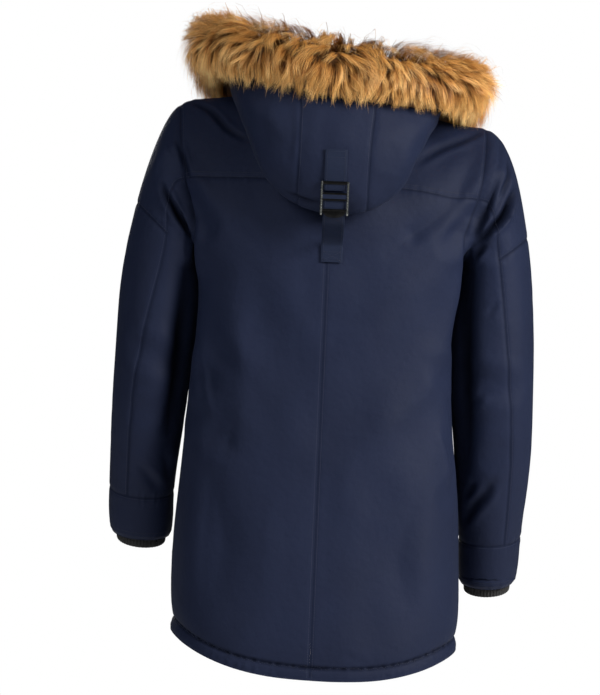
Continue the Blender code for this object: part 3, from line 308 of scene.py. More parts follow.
# sharper creases than the large folds; a crease's dark value is shade painted into the cloth's colour in its
# depth
CREASES = (
    crease(1, 0.005, 0.004, 0.6, (0.198, -0.031), (0.171, -0.046), (0.146, -0.071), (0.118, -0.086),
        dark=0.6),
    crease(1, 0.005, 0.0022, 0.4, (0.231, -0.082), (0.227, -0.101), (0.218, -0.112)),
    crease(1, 0.0045, 0.003, 0.5, (0.217, -0.094), (0.209, -0.111), (0.202, -0.132), (0.197, -0.146),
        dark=0.7),
    crease(1, 0.006, 0.0085, 0.6, (0.237, -0.154), (0.225, -0.176), (0.21, -0.198), (0.196, -0.216),
        (0.19, -0.226), dark=1.0),
    crease(1, 0.007, 0.004, 0.3, (0.205, -0.128), (0.198, -0.161), (0.192, -0.189), (0.188, -0.215),
        dark=0.75, on="sleeve"),
    crease(1, 0.012, -0.009, 0, (0.197, -0.216), (0.196, -0.243), (0.197, -0.27), on="sleeve"),
    crease(1, 0.013, -0.007, 0, (0.18, -0.205), (0.178, -0.245), (0.175, -0.29), on="body"),
    crease(1, 0.017, 0.012, 0, (0.196, -0.25), (0.198, -0.315), (0.202, -0.372), (0.206, -0.436),
        (0.213, -0.515), dark=1.0, on="sleeve"),
    crease(1, 0.005, 0.0016, 0.5, (0.212, -0.168), (0.202, -0.181), (0.187, -0.205)),
    crease(1, 0.008, 0.0034, 0.5, (0.258, -0.551), (0.242, -0.568), (0.225, -0.589)),
    crease(1, 0.01, 0.003, 0.4, (0.221, -0.53), (0.214, -0.552), (0.21, -0.574)),
    crease(1, 0.006, -0.0016, 0.3, (0.171, -0.396), (0.162, -0.44), (0.152, -0.47)),
    crease(1, 0.011, 0.0026, 0.4, (0.152, -0.507), (0.131, -0.508), (0.117, -0.523)),
    crease(1, 0.02, 0.0034, 0.25, (0.148, -0.53), (0.154, -0.621), (0.153, -0.733)),
    crease(1, 0.013, 0.0024, 0.4, (0.088, -0.29), (0.055, -0.313), (0.033, -0.344), (0.007, -0.37)),
    crease(1, 0.011, 0.0017, 0.4, (0.118, -0.312), (0.102, -0.347), (0.084, -0.381), (0.072, -0.415)),
    crease(1, 0.0065, 0.0038, 0.5, (-0.215, -0.055), (-0.186, -0.072), (-0.15, -0.088), (-0.121, -0.11),
        dark=0.35),
    crease(1, 0.013, 0.004, 0.4, (-0.216, -0.077), (-0.191, -0.122), (-0.179, -0.159), (-0.157, -0.183),
        (-0.115, -0.213), (-0.068, -0.248)),
    crease(1, 0.014, 0.003, 0.4, (-0.131, -0.26), (-0.104, -0.292), (-0.071, -0.33), (-0.037, -0.359)),
    crease(1, 0.012, 0.0024, 0.4, (-0.101, -0.366), (-0.074, -0.402), (-0.034, -0.456)),
    crease(1, 0.006, 0.0022, 0.4, (-0.242, -0.066), (-0.237, -0.106), (-0.232, -0.128)),
    crease(1, 0.0045, 0.0034, 0.5, (-0.253, -0.099), (-0.251, -0.126), (-0.244, -0.15), dark=0.5),
    crease(1, 0.006, 0.009, 0.5, (-0.264, -0.138), (-0.255, -0.16), (-0.245, -0.18), (-0.231, -0.196),
        (-0.209, -0.22), dark=1.0),
    crease(1, 0.0055, 0.005, 0.5, (-0.24, -0.123), (-0.231, -0.146), (-0.224, -0.166), (-0.215, -0.189),
        (-0.206, -0.216), dark=0.45),
    crease(1, 0.019, 0.013, 0, (-0.206, -0.23), (-0.202, -0.284), (-0.2, -0.341), (-0.203, -0.405),
        (-0.208, -0.483), (-0.212, -0.554), dark=0.9, on="sleeve"),
    crease(1, 0.016, -0.007, 0, (-0.19, -0.225), (-0.184, -0.271), (-0.179, -0.313), (-0.176, -0.363),
        on="body"),
    crease(1, 0.0055, 0.0042, 0.5, (-0.224, -0.217), (-0.214, -0.231), (-0.207, -0.242), dark=0.7),
    crease(1, 0.005, 0.003, 0.5, (-0.245, -0.303), (-0.23, -0.315)),
    crease(1, 0.0065, 0.0032, 0.5, (-0.247, -0.429), (-0.23, -0.43), (-0.218, -0.443), (-0.208, -0.452)),
    crease(1, 0.0075, 0.0055, 0.5, (-0.252, -0.555), (-0.243, -0.575), (-0.228, -0.594), (-0.217, -0.617),
        dark=0.6),
    crease(1, 0.006, 0.004, 0.5, (-0.228, -0.557), (-0.221, -0.569), (-0.215, -0.579), dark=0.5),
    crease(1, 0.008, -0.0028, 0.3, (-0.171, -0.475), (-0.17, -0.492), (-0.178, -0.517), (-0.187, -0.56)),
    crease(1, 0.007, 0.0024, 0.5, (-0.026, -0.757), (-0.055, -0.776), (-0.072, -0.79)),
    crease(1, 0.006, 0.0018, 0.5, (-0.02, -0.784), (-0.048, -0.797), (-0.07, -0.806)),
    crease(1, 0.01, 0.002, 0.4, (-0.045, -0.708), (-0.07, -0.737)),
    crease(-1, 0.012, 0.0034, 0.4, (0.2, -0.13), (0.15, -0.19), (0.09, -0.24)),
    crease(-1, 0.012, 0.0034, 0.4, (-0.205, -0.14), (-0.15, -0.195), (-0.085, -0.235)),
    crease(-1, 0.016, 0.003, 0.3, (0.175, -0.33), (0.13, -0.4), (0.07, -0.45)),
    crease(-1, 0.016, 0.003, 0.3, (-0.17, -0.35), (-0.12, -0.43), (-0.07, -0.47)),
    crease(-1, 0.008, 0.004, 0.5, (0.284, -0.38), (0.245, -0.4), (0.205, -0.398)),
    crease(-1, 0.008, 0.003, 0.5, (0.28, -0.44), (0.25, -0.43), (0.215, -0.445)),
    crease(-1, 0.008, 0.004, 0.5, (-0.286, -0.405), (-0.25, -0.425), (-0.206, -0.42)),
    crease(-1, 0.008, 0.003, 0.5, (-0.284, -0.47), (-0.25, -0.46), (-0.215, -0.475)),
    crease(-1, 0.02, 0.003, 0.3, (0.15, -0.56), (0.13, -0.64), (0.14, -0.73)),
    crease(-1, 0.02, 0.003, 0.3, (-0.14, -0.58), (-0.12, -0.66), (-0.135, -0.74)),
)
SHINE = 0.14  # level of the cloth's gloss outside deep folds; it fades towards nothing in the painted shade of deep folds and seams
WEAR_REACH = 0.004  # the cloth is a little paler this near to its seams
CLOSED = 0.00001  # panels all but touch in the finer surface
CREASE_REACH = 3.2  # a crease acts within this many half widths
CREASE_STEPS = 6  # of its line, from one point of the path to the next
# creases of the hood; a crease's dark value is shade painted into the cloth's colour in its depth
HOOD_CREASES = (
    crease(1, 0.0045, 0.0034, 0.6, (0.06, -0.163), (0.046, -0.169), (0.026, -0.175), (0.012, -0.176),
        dark=0.5),
    crease(1, 0.0035, -0.0013, 0.3, (-0.06, -0.128), (-0.081, -0.133), (-0.103, -0.136)),
    crease(1, 0.006, -0.0018, 0.3, (0.049, -0.045), (0.045, -0.079), (0.048, -0.113), (0.043, -0.131)),
    crease(1, 0.014, 0.0018, 0.4, (0.105, -0.052), (0.093, -0.085), (0.075, -0.115)),
    crease(1, 0.014, 0.0018, 0.4, (-0.105, -0.06), (-0.09, -0.09), (-0.074, -0.108)),
    crease(1, 0.014, 0.0012, 0.3, (0.01, -0.05), (0.014, -0.09), (0.01, -0.12)),
)
HOOD_SIDE = 0.30  # they are laid on from this y
HOOD_ROUNDS = 4  # times that the hood is cleared of the fur and the body, and evened out between
HOOD_FINE = 6  # steps of the scene's hood for each one of HOOD_STEPS
HOOD_ACROSS = 16  # steps from one section to the next

# topstitching of both sides: the panel that carries the lines, the one beyond the seam, and their distances
# from the seam
TOPSTITCH = (
    ("back_{side}", "back_{other}", 0.0035),
    ("back_yoke", "back_{side}", 0.002, 0.008),
    ("back_yoke", "front_{side}", 0.003),
    ("sleeve_{side}_cap", "sleeve_{side}_outer", 0.003),
    ("sleeve_{side}_outer", "sleeve_{side}_under", 0.003),
    ("sleeve_{side}_cap", "sleeve_{side}_under", 0.003),
    ("cuff_{side}", "sleeve_{side}_outer", 0.003),
    ("cuff_{side}", "sleeve_{side}_under", 0.003),
    ("cuff_{side}", "edge", 0.006, 0.012),
    ("back_yoke", "sleeve_{side}_cap", 0.004),
    ("back_{side}", "sleeve_{side}_cap", 0.004),
    ("front_{side}", "sleeve_{side}_cap", 0.004),
    ("back_{side}", "edge", 0.018),
    ("front_{side}", "edge", 0.018),
    ("hood_centre", "hood_{side}", 0.003),
)
HEM_UP = 0.018  # the hem's sewing line over the edge
HEM_SEWN_WIDTH = 0.0026
HEM_SEWN_DEPTH = 0.0024
HEM_PAD_WIDTH = 0.007  # of the padded edge below it
HEM_PAD_HEIGHT = 0.0012
HEM_BELOW = -0.7  # a free edge of the body under this height is the hem
STITCH = dict(length=0.0029, pitch=0.0034, width=0.00055, height=0.0004)
STRAP_INSET = 0.0028  # of the stitch lines, from a strap's edge
PLACKET_INSET = 0.004
VALLEY_WIDTH = 0.0036  # of a seam, to each side
# half width of the painted shade, a thin dark line down the middle of a seam's valley
SEAM_DARK_WIDTH = 0.0017
PUCKER_OFF = 0.005  # the puckers are highest this far from the seam
PUCKER_WIDTH = 0.0065
# puckers along a seam: height, wavelength, how far they wander and over which length
PUCKERS = ((1.0, 0.0125, 1.3, 0.031), (0.7, 0.0205, 2.0, 0.047), (0.5, 0.0081, 0.0, 1.0))

# locks of the fur: they part near PART_X at the back and flow outward and down from there
PART_X = 0.004
FUR_BASE = 0.022  # radius of the roll that the hairs stand on
FUR_BASE_TUCK = 0.0055  # extra height of the lip inside the hood
FUR_BASE_LIP = 0.0152  # how far it rises to meet the hood's edge
LOCKS = (120, 20)  # along the roll and round it
HAIRS = 27  # to a lock
FLYAWAYS = 3200
BARE = 30  # degrees on both sides of the hood's edge without hair
BARE_FRONT = 25  # as many more at both ends, towards the throat
LOCK_LENGTH = (0.036, 0.063)
LOCK_SPREAD = 0.0066
TIP_REACH = (0.003, 0.010)  # how far tips stand out of the solid form
FLYAWAY_REACH = (0.006, 0.012)
MOST_OUT = 0.011  # the furthest that tips stand out to the back and to the front
HAIR_WIDTH = (0.00030, 0.00062)
HAIR_TAPER = (0.75, 1.0, 0.9, 0.55, 0.0)  # shares of its width from foot to tip
FUR_PARTS = (("fur_left", 0, 0.34), ("fur_centre", 0.34, 0.66), ("fur_right", 0.66, 1.01))
FUR_STEPS = 8  # stations of the roll from one section to the next
# colours along a hair, from its foot to its tip; the dark foot is partly the hair's own colour and partly
# painted shade deep in the fur
HAIR_SHADES = (
    (0.0, (0.10, 0.034, 0.006)),
    (0.30, (0.33, 0.128, 0.023)),
    (0.60, (0.62, 0.275, 0.058)),
    (1.0, (0.92, 0.54, 0.165)),
)

# what the shades are multiplied by, from the darkest lock to the palest
HAIR_TINTS = ((0.0, (0.36, 0.27, 0.20)), (0.45, (0.90, 0.86, 0.80)), (1.0, (1.50, 1.86, 2.75)))
GUARD_TIPS = ((0.45, (0, 0, 0)), (0.85, (1, 1, 1)))  # a guard hair is dark from here along it
GUARD_COLOUR = (0.045, 0.026, 0.014)
HAIR_SHINE = 0.30

# lamps: place, size, power and colour; they all point at LIT
LIGHTS = table(
    "name place size power colour",
    ("key", (-2.8, 2.1, 1.1), 1.5, 199, (1.0, 0.98, 0.96)),
    ("fill", (2.1, 3.2, 1.5), 1.8, 62, (0.95, 0.97, 1.0)),
    ("front_key", (0.7, -3.4, 1.0), 1.4, 60, (1.0, 0.98, 0.95)),
)
LIT = (0, 0, -0.35)
SKY = (0.86, 0.92, 1.0, 1)
SKY_POWER = 0.056
FLOOR_Z = -1.45
FLOOR_RADIUS = 3.0
CAMERA_PLACE = (0.0315, 3.85, -0.375)
CAMERA_TURN = (90, -2.4, 180)  # degrees
CAMERA_FAR = 3.75  # metres from the back of the coat
CAMERA_SEES = 0.84  # metres across, at that distance
SENSOR = 36  # millimetres


def lerp(a, b, t):
    return a + (b - a) * t


def smooth(low, high, x):
    """0 below low, 1 above high, and a soft step between."""
    t = min(1.0, max(0.0, (x - low) / (high - low)))
    return t * t * (3 - 2 * t)


def tilted(point):
    """A point of the upper body after the shoulders are tilted to the wearer's left."""
    x, y, z = point
    return Vector((x, y, z + SHOULDER_TILT * x * smooth(TILT_FOOT, TILT_TOP, z)))


def quarter_points(width, depth, shares):
    """Points (x, y) of a superellipse quarter from x = 0 to y = 0, at shares of its length."""
    steps = 400
    angles = np.linspace(0.0, math.pi / 2, steps)
    x = width * np.sin(angles) ** (2 / SQUARENESS)
    y = depth * np.cos(angles) ** (2 / SQUARENESS)
    length = np.concatenate([[0.0], np.cumsum(np.hypot(np.diff(x), np.diff(y)))])
    wanted = np.array(shares) * length[-1]
    return list(zip(np.interp(wanted, length, x), np.interp(wanted, length, y)))


def hem_height(share_to_back):
    """How far the hem hangs under its height at the side seams; 1 is centre back and -1 centre front."""
    if share_to_back > 0:
        return -HEM_BACK_DROP * share_to_back**SQUARENESS
    return -HEM_FRONT_DROP * smooth(0.1, 0.9, -share_to_back)


def body_ring(row):
    """The ring's vertices, from centre front round the wearer's left."""
    points = {}
    for side, width in ((1, row["left"]), (-1, row["right"])):
        front = quarter_points(width, row["front"], FRONT_SHARES)
        back = quarter_points(width, row["back"], BACK_SHARES)
        half = [(x, -y) for x, y in front] + [(x, y) for x, y in back]
        for column, (x, y) in enumerate(half):
            x *= 1 - row["hollow"] * math.exp(-((y / HOLLOW_DEPTH) ** 2))
            depth = row["back"] if y > 0 else row["front"]
            reach = 1 - row["pinch"] * HEM_GROOVE / width
            fall = smooth(FALL_TOP, FALL_FOOT, row["z"])
            z = row["z"] + row["lift"] + fall * (hem_height(y / depth) + HEM_SLANT * side * x)
            points[column if side > 0 else (RING - column) % RING] = (side * x * reach, y * reach, z)
    return [points[column] for column in range(RING)]


def upper_row(ring_part, top, edges, centre, level):
    """One row of the upper front or back, blended from the ring, the top row, the armholes and the centre."""
    count = len(ring_part)
    middle = count // 2
    t = level / UPPER_ROWS
    row = []
    for j in range(count):
        share = abs(j - middle) / middle
        base = lerp(ring_part[j], top[j], t)
        side = 0 if j < middle else count - 1
        edge_fix = edges[0 if j < middle else 1] - lerp(ring_part[side], top[side], t)
        centre_fix = centre - lerp(ring_part[middle], top[middle], t)
        row.append(base + lerp(centre_fix, edge_fix, share))
    return row


def mirrored(point):
    return (-point[0], point[1], point[2])


class Cage:
    """Control points and faces, each face marked with the panel that it belongs to."""

    def __init__(self):
        self.points = []
        self.faces = []
        self.panels = []

    def add(self, point):
        self.points.append(tuple(point))
        return len(self.points) - 1

    def face(self, corners, panel):
        self.faces.append(corners)
        self.panels.append(panel)

    def strip(self, lower, upper, panel_of, flip=False):
        """Faces between two rows of vertex numbers of equal length."""
        for j in range(len(lower) - 1):
            corners = (lower[j], lower[j + 1], upper[j + 1], upper[j])
            self.face(corners[::-1] if flip else corners, panel_of(j))


def body_panel(column):
    """Panel of the ring's face that starts at this column."""
    return ("front_left", "back_left", "back_right", "front_right")[column // (HALF // 2)]


def add_body(cage):
    """Adds the body and returns the vertex numbers round the left and the right armhole."""
    rings = [[cage.add(tilted(p)) for p in body_ring(row)] for row in BODY_RINGS]
    top_ring = rings[-1]
    side_columns = range(FRONT_EDGE, BACK_EDGE + 1)
    for column in side_columns:
        for number in (top_ring[column], top_ring[(RING - column) % RING]):
            x, y, z = cage.points[number]
            drop = UNDERARM_DROP * math.exp(-((y / HOLLOW_DEPTH) ** 2))
            cage.points[number] = (x, y, z - drop)
    for low, high in zip(rings, rings[1:]):
        cage.strip(low + low[:1], high + high[:1], body_panel)

    shoulder = {
        1: [cage.add(tilted(row["left"])) for row in SHOULDER],
        -1: [cage.add(tilted(mirrored(row["right"]))) for row in SHOULDER],
    }

    def upper(columns, rows, neck, flip, panel_of_row):
        """Rows of one face of the upper body; columns run from the wearer's left edge to the right edge."""
        lowest = [top_ring[c % RING] for c in columns]
        neck_left, neck_centre = cage.add(tilted(neck[0])), cage.add(tilted(neck[1]))
        neck_right = cage.add(tilted(mirrored(neck[0])))
        top = shoulder[1] + [neck_left, neck_centre, neck_right] + shoulder[-1][::-1]
        low = [Vector(cage.points[n]) for n in lowest]
        high = [Vector(cage.points[n]) for n in top]
        numbers = [lowest]
        for level, row in enumerate(rows, start=1):
            edges = (tilted(row["left"]), tilted(mirrored(row["right"])))
            made = upper_row(low, high, edges, tilted(row["centre"]), level)
            numbers.append([cage.add(p) for p in made])
        numbers.append(top)
        for level, (a, b) in enumerate(zip(numbers, numbers[1:])):
            cage.strip(a, b, lambda j, level=level: panel_of_row(level, j), flip)
        return numbers

    middle = HALF - BACK_EDGE
    back = upper(
        range(BACK_EDGE, RING - BACK_EDGE + 1),
        BACK_ROWS,
        BACK_NECK,
        False,
        lambda level, j: "back_yoke" if level >= YOKE_ROW else ("back_left" if j < middle else "back_right"),
    )
    front = upper(
        range(FRONT_EDGE, -FRONT_EDGE - 1, -1),
        FRONT_ROWS,
        FRONT_NECK,
        True,
        lambda level, j: "front_left" if j < middle else "front_right",
    )
    armholes = {}
    for side, place in ((1, 0), (-1, -1)):
        bottom = [top_ring[(side * c) % RING] for c in range(BACK_EDGE - 1, FRONT_EDGE, -1)]
        back_up = [row[place] for row in back[:-1]]
        front_up = [row[place] for row in front[:-1]]
        armholes[side] = [back[-1][place]] + back_up[::-1] + bottom + front_up
    return armholes


def column_angle(column, seam):
    """Angle of a sleeve column from the outer point, with the two seams at this many degrees from it."""
    marks = (0, BACK_SEAM, SLEEVE_COLUMNS // 2, FRONT_SEAM, SLEEVE_COLUMNS)
    angles = (0, seam, 180, 360 - seam, 360)
    return math.radians(float(np.interp(column, marks, angles)))


def sleeve_point(row, side, angle, scale=1.0, along=0.0):
    """A point of the ring at an angle from its outer point, moved along the forearm's own direction."""
    inner, outer = row["inner"], row["outer"]
    lean = math.radians(row["lean"])
    centre = Vector(((inner[0] + outer[0]) / 2, row["y"], (inner[1] + outer[1]) / 2))
    across = Vector(((outer[0] - inner[0]) / 2, 0, (outer[1] - inner[1]) / 2)) * scale
    deep = Vector((0, math.cos(lean), -math.sin(lean))) * row["depth"] * scale
    down = Vector((0, -math.sin(lean), -math.cos(lean)))
    p = centre + across * math.cos(angle) + deep * math.sin(angle) + down * along
    return Vector((side * p.x, p.y, p.z))


def sleeve_ring(row, side, scale=1.0, along=0.0):
    columns = range(SLEEVE_COLUMNS)
    return [sleeve_point(row, side, column_angle(c, row["seam"]), scale, along) for c in columns]


def sleeve_panel(side_name, ring, column):
    if BACK_SEAM <= column < FRONT_SEAM:
        return f"sleeve_{side_name}_under"
    return f"sleeve_{side_name}_cap" if ring < PANEL_RING else f"sleeve_{side_name}_outer"


def add_sleeve(cage, armhole, rings, side, side_name):
    """Adds a sleeve and its cuff band to the cage."""
    previous = armhole
    for ring, row in enumerate(rings):
        numbers = [cage.add(p) for p in sleeve_ring(row, side)]
        connect_tube(cage, previous, numbers, side, lambda c, r=ring: sleeve_panel(side_name, r, c))
        previous = numbers
    wrist = rings[-1]
    for along, scale in CUFF_RINGS:
        numbers = [cage.add(p) for p in sleeve_ring(wrist, side, scale, along * CUFF_LENGTH)]
        connect_tube(cage, previous, numbers, side, lambda c: f"cuff_{side_name}")
        previous = numbers


def connect_tube(cage, upper, lower, side, panel_of):
    count = len(upper)
    for c in range(count):
        d = (c + 1) % count
        corners = (upper[c], upper[d], lower[d], lower[c])
        cage.face(corners if side < 0 else corners[::-1], panel_of(c))


def between(a, b, at, bt, t):
    return a * ((bt - t) / (bt - at)) + b * ((t - at) / (bt - at))


def smooth_path(points, steps):
    """A centripetal Catmull-Rom curve through the points; steps is the number of steps for each span."""
    p = [Vector(q) for q in points]
    p = [2 * p[0] - p[1]] + p + [2 * p[-1] - p[-2]]
    made = []
    for i, count in enumerate(steps):
        p0, p1, p2, p3 = p[i : i + 4]
        t1 = (p1 - p0).length ** 0.5
        t2 = t1 + (p2 - p1).length ** 0.5
        t3 = t2 + (p3 - p2).length ** 0.5
        for k in range(count):
            t = lerp(t1, t2, k / count)
            a1 = between(p0, p1, 0, t1, t)
            a2 = between(p1, p2, t1, t2, t)
            a3 = between(p2, p3, t2, t3, t)
            b1 = between(a1, a2, 0, t2, t)
            b2 = between(a2, a3, t1, t3, t)
            made.append(between(b1, b2, t1, t2, t))
    made.append(p[-2])
    return made


def both_sides(value):
    """A section's point on the wearer's left and its mirror on the right, tilted with the shoulders."""
    return tilted(value), tilted(mirrored(value))


def section_rows():
    """The hood's sections from the wearer's left front end round the back to the right one."""
    left, right = [], []
    for section in HOOD_SECTIONS:
        way = Vector(section["seam"]).normalized() * FUR_RADIUS
        whole = section | dict(edge=tuple(Vector(section["fur"]) + way))
        pairs = [both_sides(whole[key]) for key in HOOD_LINE]
        for pair, slip, lift in zip(pairs, HOOD_SLIPS, HOOD_LIFTS):
            for p in pair:
                p.z += lift * p.x
                p.x -= slip
        left.append([pair[0] for pair in pairs])
        right.append([pair[1] for pair in pairs])
    return left[::-1] + right[1:]


def seat_on_rim(point, onward, rim):
    """The nearest point of the neck's rim, moved a seam gap towards the next point of the hood."""
    best = None
    for a, b in rim:
        along = b - a
        t = min(1.0, max(0.0, (point - a).dot(along) / along.length_squared))
        q = a + along * t
        if best is None or (q - point).length < (best - point).length:
            best = q
    return best + (onward - best).normalized() * SEAM_GAP


def clear_of(tree, point, distance):
    """The point, moved out where it comes nearer than this to the surface."""
    spot, normal, _, _ = tree.find_nearest(point)
    if (point - spot).dot(normal) < distance:
        return spot + normal * distance
    return point


def spot_on(tree, x, z, side):
    """The surface's point and normal behind (side 1) or in front (side -1) at x and z."""
    place, normal, _, _ = tree.ray_cast(Vector((x, side * 1.0, z)), Vector((0, -side, 0)))
    return place, normal


def strap_seat(tree, z):
    """Where the strap's outer face lies on a surface at this height, clear of it over the whole width."""
    spots = [spot_on(tree, STRAP_X + STRAP_WIDTH * share, z, 1)[0].y for share in np.linspace(-0.5, 0.5, 13)]
    return max(spots) + LAY_GAP + STRAP_WALL


# ---------------------------------------------------------------- arrays


def refined(points, quads):
    """One Catmull-Clark step. The old vertices keep their numbers; then come edge points and face points."""
    count = len(points)
    centres = points[quads].mean(1)
    ends = np.roll(quads, -1, axis=1)
    pairs = np.sort(np.stack([quads, ends], -1).reshape(-1, 2), axis=1)
    edges, index = np.unique(pairs, axis=0, return_inverse=True)
    index = index.reshape(-1, 4)
    uses = np.bincount(index.ravel(), minlength=len(edges))
    middles = points[edges].mean(1)
    sums = np.zeros_like(middles)
    np.add.at(sums, index.ravel(), np.repeat(centres, 4, axis=0))
    inner = uses == 2
    edge_points = middles.copy()
    edge_points[inner] = (middles[inner] + sums[inner] / 2) / 2

    valence = np.bincount(edges.ravel(), minlength=count)[:, None]
    around = np.bincount(quads.ravel(), minlength=count)[:, None]
    face_sum, edge_sum = np.zeros_like(points), np.zeros_like(points)
    np.add.at(face_sum, quads.ravel(), np.repeat(centres, 4, axis=0))
    np.add.at(edge_sum, edges.ravel(), np.repeat(middles, 2, axis=0))
    moved = (face_sum / around + 2 * edge_sum / valence + (valence - 3) * points) / valence
    rim = edges[~inner]
    rim_sum = np.zeros_like(points)
    np.add.at(rim_sum, rim.ravel(), np.repeat(middles[~inner], 2, axis=0))
    on_rim = np.unique(rim)
    moved[on_rim] = points[on_rim] / 2 + rim_sum[on_rim] / 4

    edge_index = count + index
    face_index = np.repeat(count + len(edges) + np.arange(len(quads)), 4).reshape(-1, 4)
    made = np.stack([quads, edge_index, face_index, np.roll(edge_index, 1, axis=1)], -1)
    return np.concatenate([moved, edge_points, centres]), made.reshape(-1, 4)


def bell(offset, width):
    """1 in the middle, falling to nothing beyond about two widths."""
    return np.exp(-((offset / width) ** 2))


def unit(ways):
    return ways / np.maximum(np.linalg.norm(ways, axis=-1, keepdims=True), 1e-9)


def vertex_normals(points, quads):
    a, b, c, d = (points[quads[:, k]] for k in range(4))
    ways = np.cross(c - a, d - b)
    sums = np.zeros_like(points)
    np.add.at(sums, quads.ravel(), np.repeat(ways, 4, axis=0))
    return sums / np.maximum(np.linalg.norm(sums, axis=1), 1e-12)[:, None]


def surface_tree(points, faces):
    return BVHTree.FromPolygons(points.tolist(), faces.tolist())


def open_edges(faces):
    """Directed edges that only one of these faces has, as an array of pairs."""
    starts = faces.ravel().astype(np.int64)
    ends = np.roll(faces, -1, axis=1).ravel().astype(np.int64)
    size = faces.max() + 1
    free = ~np.isin(starts * size + ends, ends * size + starts)
    return np.stack([starts[free], ends[free]], -1)


def inward_ways(points, faces):
    """The unit way into the panel at each vertex of its boundary, as {vertex: array}."""
    edges = open_edges(faces)
    on_rim = np.zeros(len(points), bool)
    on_rim[edges] = True
    sums = np.zeros_like(points)
    centres = points[faces].mean(1)
    for k in range(faces.shape[1]):
        hit = on_rim[faces[:, k]]
        np.add.at(sums, faces[hit, k], centres[hit] - points[faces[hit, k]])
    along = points[edges[:, 1]] - points[edges[:, 0]]
    along /= np.linalg.norm(along, axis=1)[:, None]
    ways = np.zeros_like(points)
    for k in range(2):
        way = sums[edges[:, k]]
        way = way - along * np.sum(way * along, axis=1)[:, None]
        way /= np.maximum(np.linalg.norm(way, axis=1), 1e-12)[:, None]
        np.add.at(ways, edges[:, k], way)
    return {i: ways[i] / max(1e-9, np.linalg.norm(ways[i])) for i in np.unique(edges)}


def chains(edges):
    """Ordered vertex lists that the edges form."""
    ways = {}
    for a, b in edges:
        ways.setdefault(a, []).append(b)
        ways.setdefault(b, []).append(a)
    left = {frozenset(e) for e in edges}
    found = []
    for start in sorted(ways, key=lambda v: (len(ways[v]) == 2, v)):
        while any(frozenset((start, w)) in left for w in ways[start]):
            line = [start]
            while True:
                onward = [w for w in ways[line[-1]] if frozenset((line[-1], w)) in left]
                if not onward:
                    break
                left.discard(frozenset((line[-1], onward[0])))
                line.append(onward[0])
            found.append(line)
    return found


def seam_chains(faces, marks):
    """The seams as {(panel, panel or -1 at a free edge): [ordered vertex lists]}."""
    size = faces.max() + 1
    starts = faces.ravel().astype(np.int64)
    ends = np.roll(faces, -1, axis=1).ravel().astype(np.int64)
    owner = np.repeat(marks, 4)
    keys, twins = starts * size + ends, ends * size + starts
    order = np.argsort(keys)
    at = np.minimum(np.searchsorted(keys[order], twins), len(keys) - 1)
    other = np.where(keys[order][at] == twins, owner[order][at], -1)
    seam = (owner != other) & ((other < 0) | (starts < ends))
    groups = {}
    for a, b, p, q in zip(starts[seam], ends[seam], owner[seam], other[seam]):
        pair = (int(p), -1) if q < 0 else (int(min(p, q)), int(max(p, q)))
        groups.setdefault(pair, []).append((int(a), int(b)))
    return {pair: chains(edges) for pair, edges in groups.items()}


def along_line(points):
    """Arc length at each point of a line."""
    steps = np.linalg.norm(np.diff(points, axis=0), axis=1)
    return np.concatenate([[0.0], np.cumsum(steps)])


def at_lengths(places, length, points):
    """The points of a line at places along it."""
    return np.stack([np.interp(places, length, points[:, k]) for k in range(3)], -1)


def resampled(points, pitch):
    """Places along a line, one each pitch, with the unit way onward at each."""
    length = along_line(points)
    places = np.arange(pitch / 2, length[-1], pitch)
    ahead = at_lengths(places + pitch / 4, length, points)
    behind = at_lengths(places - pitch / 4, length, points)
    return at_lengths(places, length, points), unit(ahead - behind)


def waves(points, wavelengths, count, seed, stretch=(1.0, 1.0, 1.0)):
    """Smooth random heights, about -1 to 1, from plane waves with lengths in a range."""
    own = np.random.default_rng(seed)
    total = np.zeros(len(points))
    for _ in range(count):
        way = own.normal(size=3)
        way /= np.linalg.norm(way)
        length = own.uniform(*wavelengths)
        slopes = way * 2 * math.pi / length / np.array(stretch)
        total += np.sin(points @ slopes + own.uniform(0, 2 * math.pi))
    return total / math.sqrt(count)


# ---------------------------------------------------------------- pieces


def made(name, points, polygons, materials, slot, marks=None, uv=None, floats=None, sharp=50):
    """A piece from its points and arrays of faces, one for each number of corners. It rides on the root."""
    mesh = bpy.data.meshes.new(name)
    polygons = [np.asarray(p) for p in polygons if len(p)]
    loops = np.concatenate([p.ravel() for p in polygons]).astype(np.int32)
    sizes = np.concatenate([np.full(len(p), p.shape[1]) for p in polygons])
    points = np.asarray(points, np.float32)
    mesh.vertices.add(len(points))
    mesh.vertices.foreach_set("co", points.ravel())
    mesh.loops.add(len(loops))
    mesh.loops.foreach_set("vertex_index", loops)
    mesh.polygons.add(len(sizes))
    starts = np.concatenate([[0], np.cumsum(sizes)[:-1]])
    mesh.polygons.foreach_set("loop_start", starts.astype(np.int32))
    if marks is not None:
        mesh.polygons.foreach_set("material_index", marks.astype(np.int32))
    mesh.update(calc_edges=True)
    for item in materials:
        mesh.materials.append(item)
    if uv is not None:
        layer = mesh.uv_layers.new(name="cloth")
        layer.data.foreach_set("uv", np.asarray(uv, np.float32)[loops].ravel())
    for key, values in (floats or {}).items():
        layer = mesh.attributes.new(key, "FLOAT", "POINT")
        layer.data.foreach_set("value", np.asarray(values, np.float32))
    mesh.shade_smooth()
    mesh.set_sharp_from_angle(angle=math.radians(sharp))
    obj = bpy.data.objects.new(name, mesh)
    bpy.context.scene.collection.objects.link(obj)
    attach(obj, "root")
    return obj


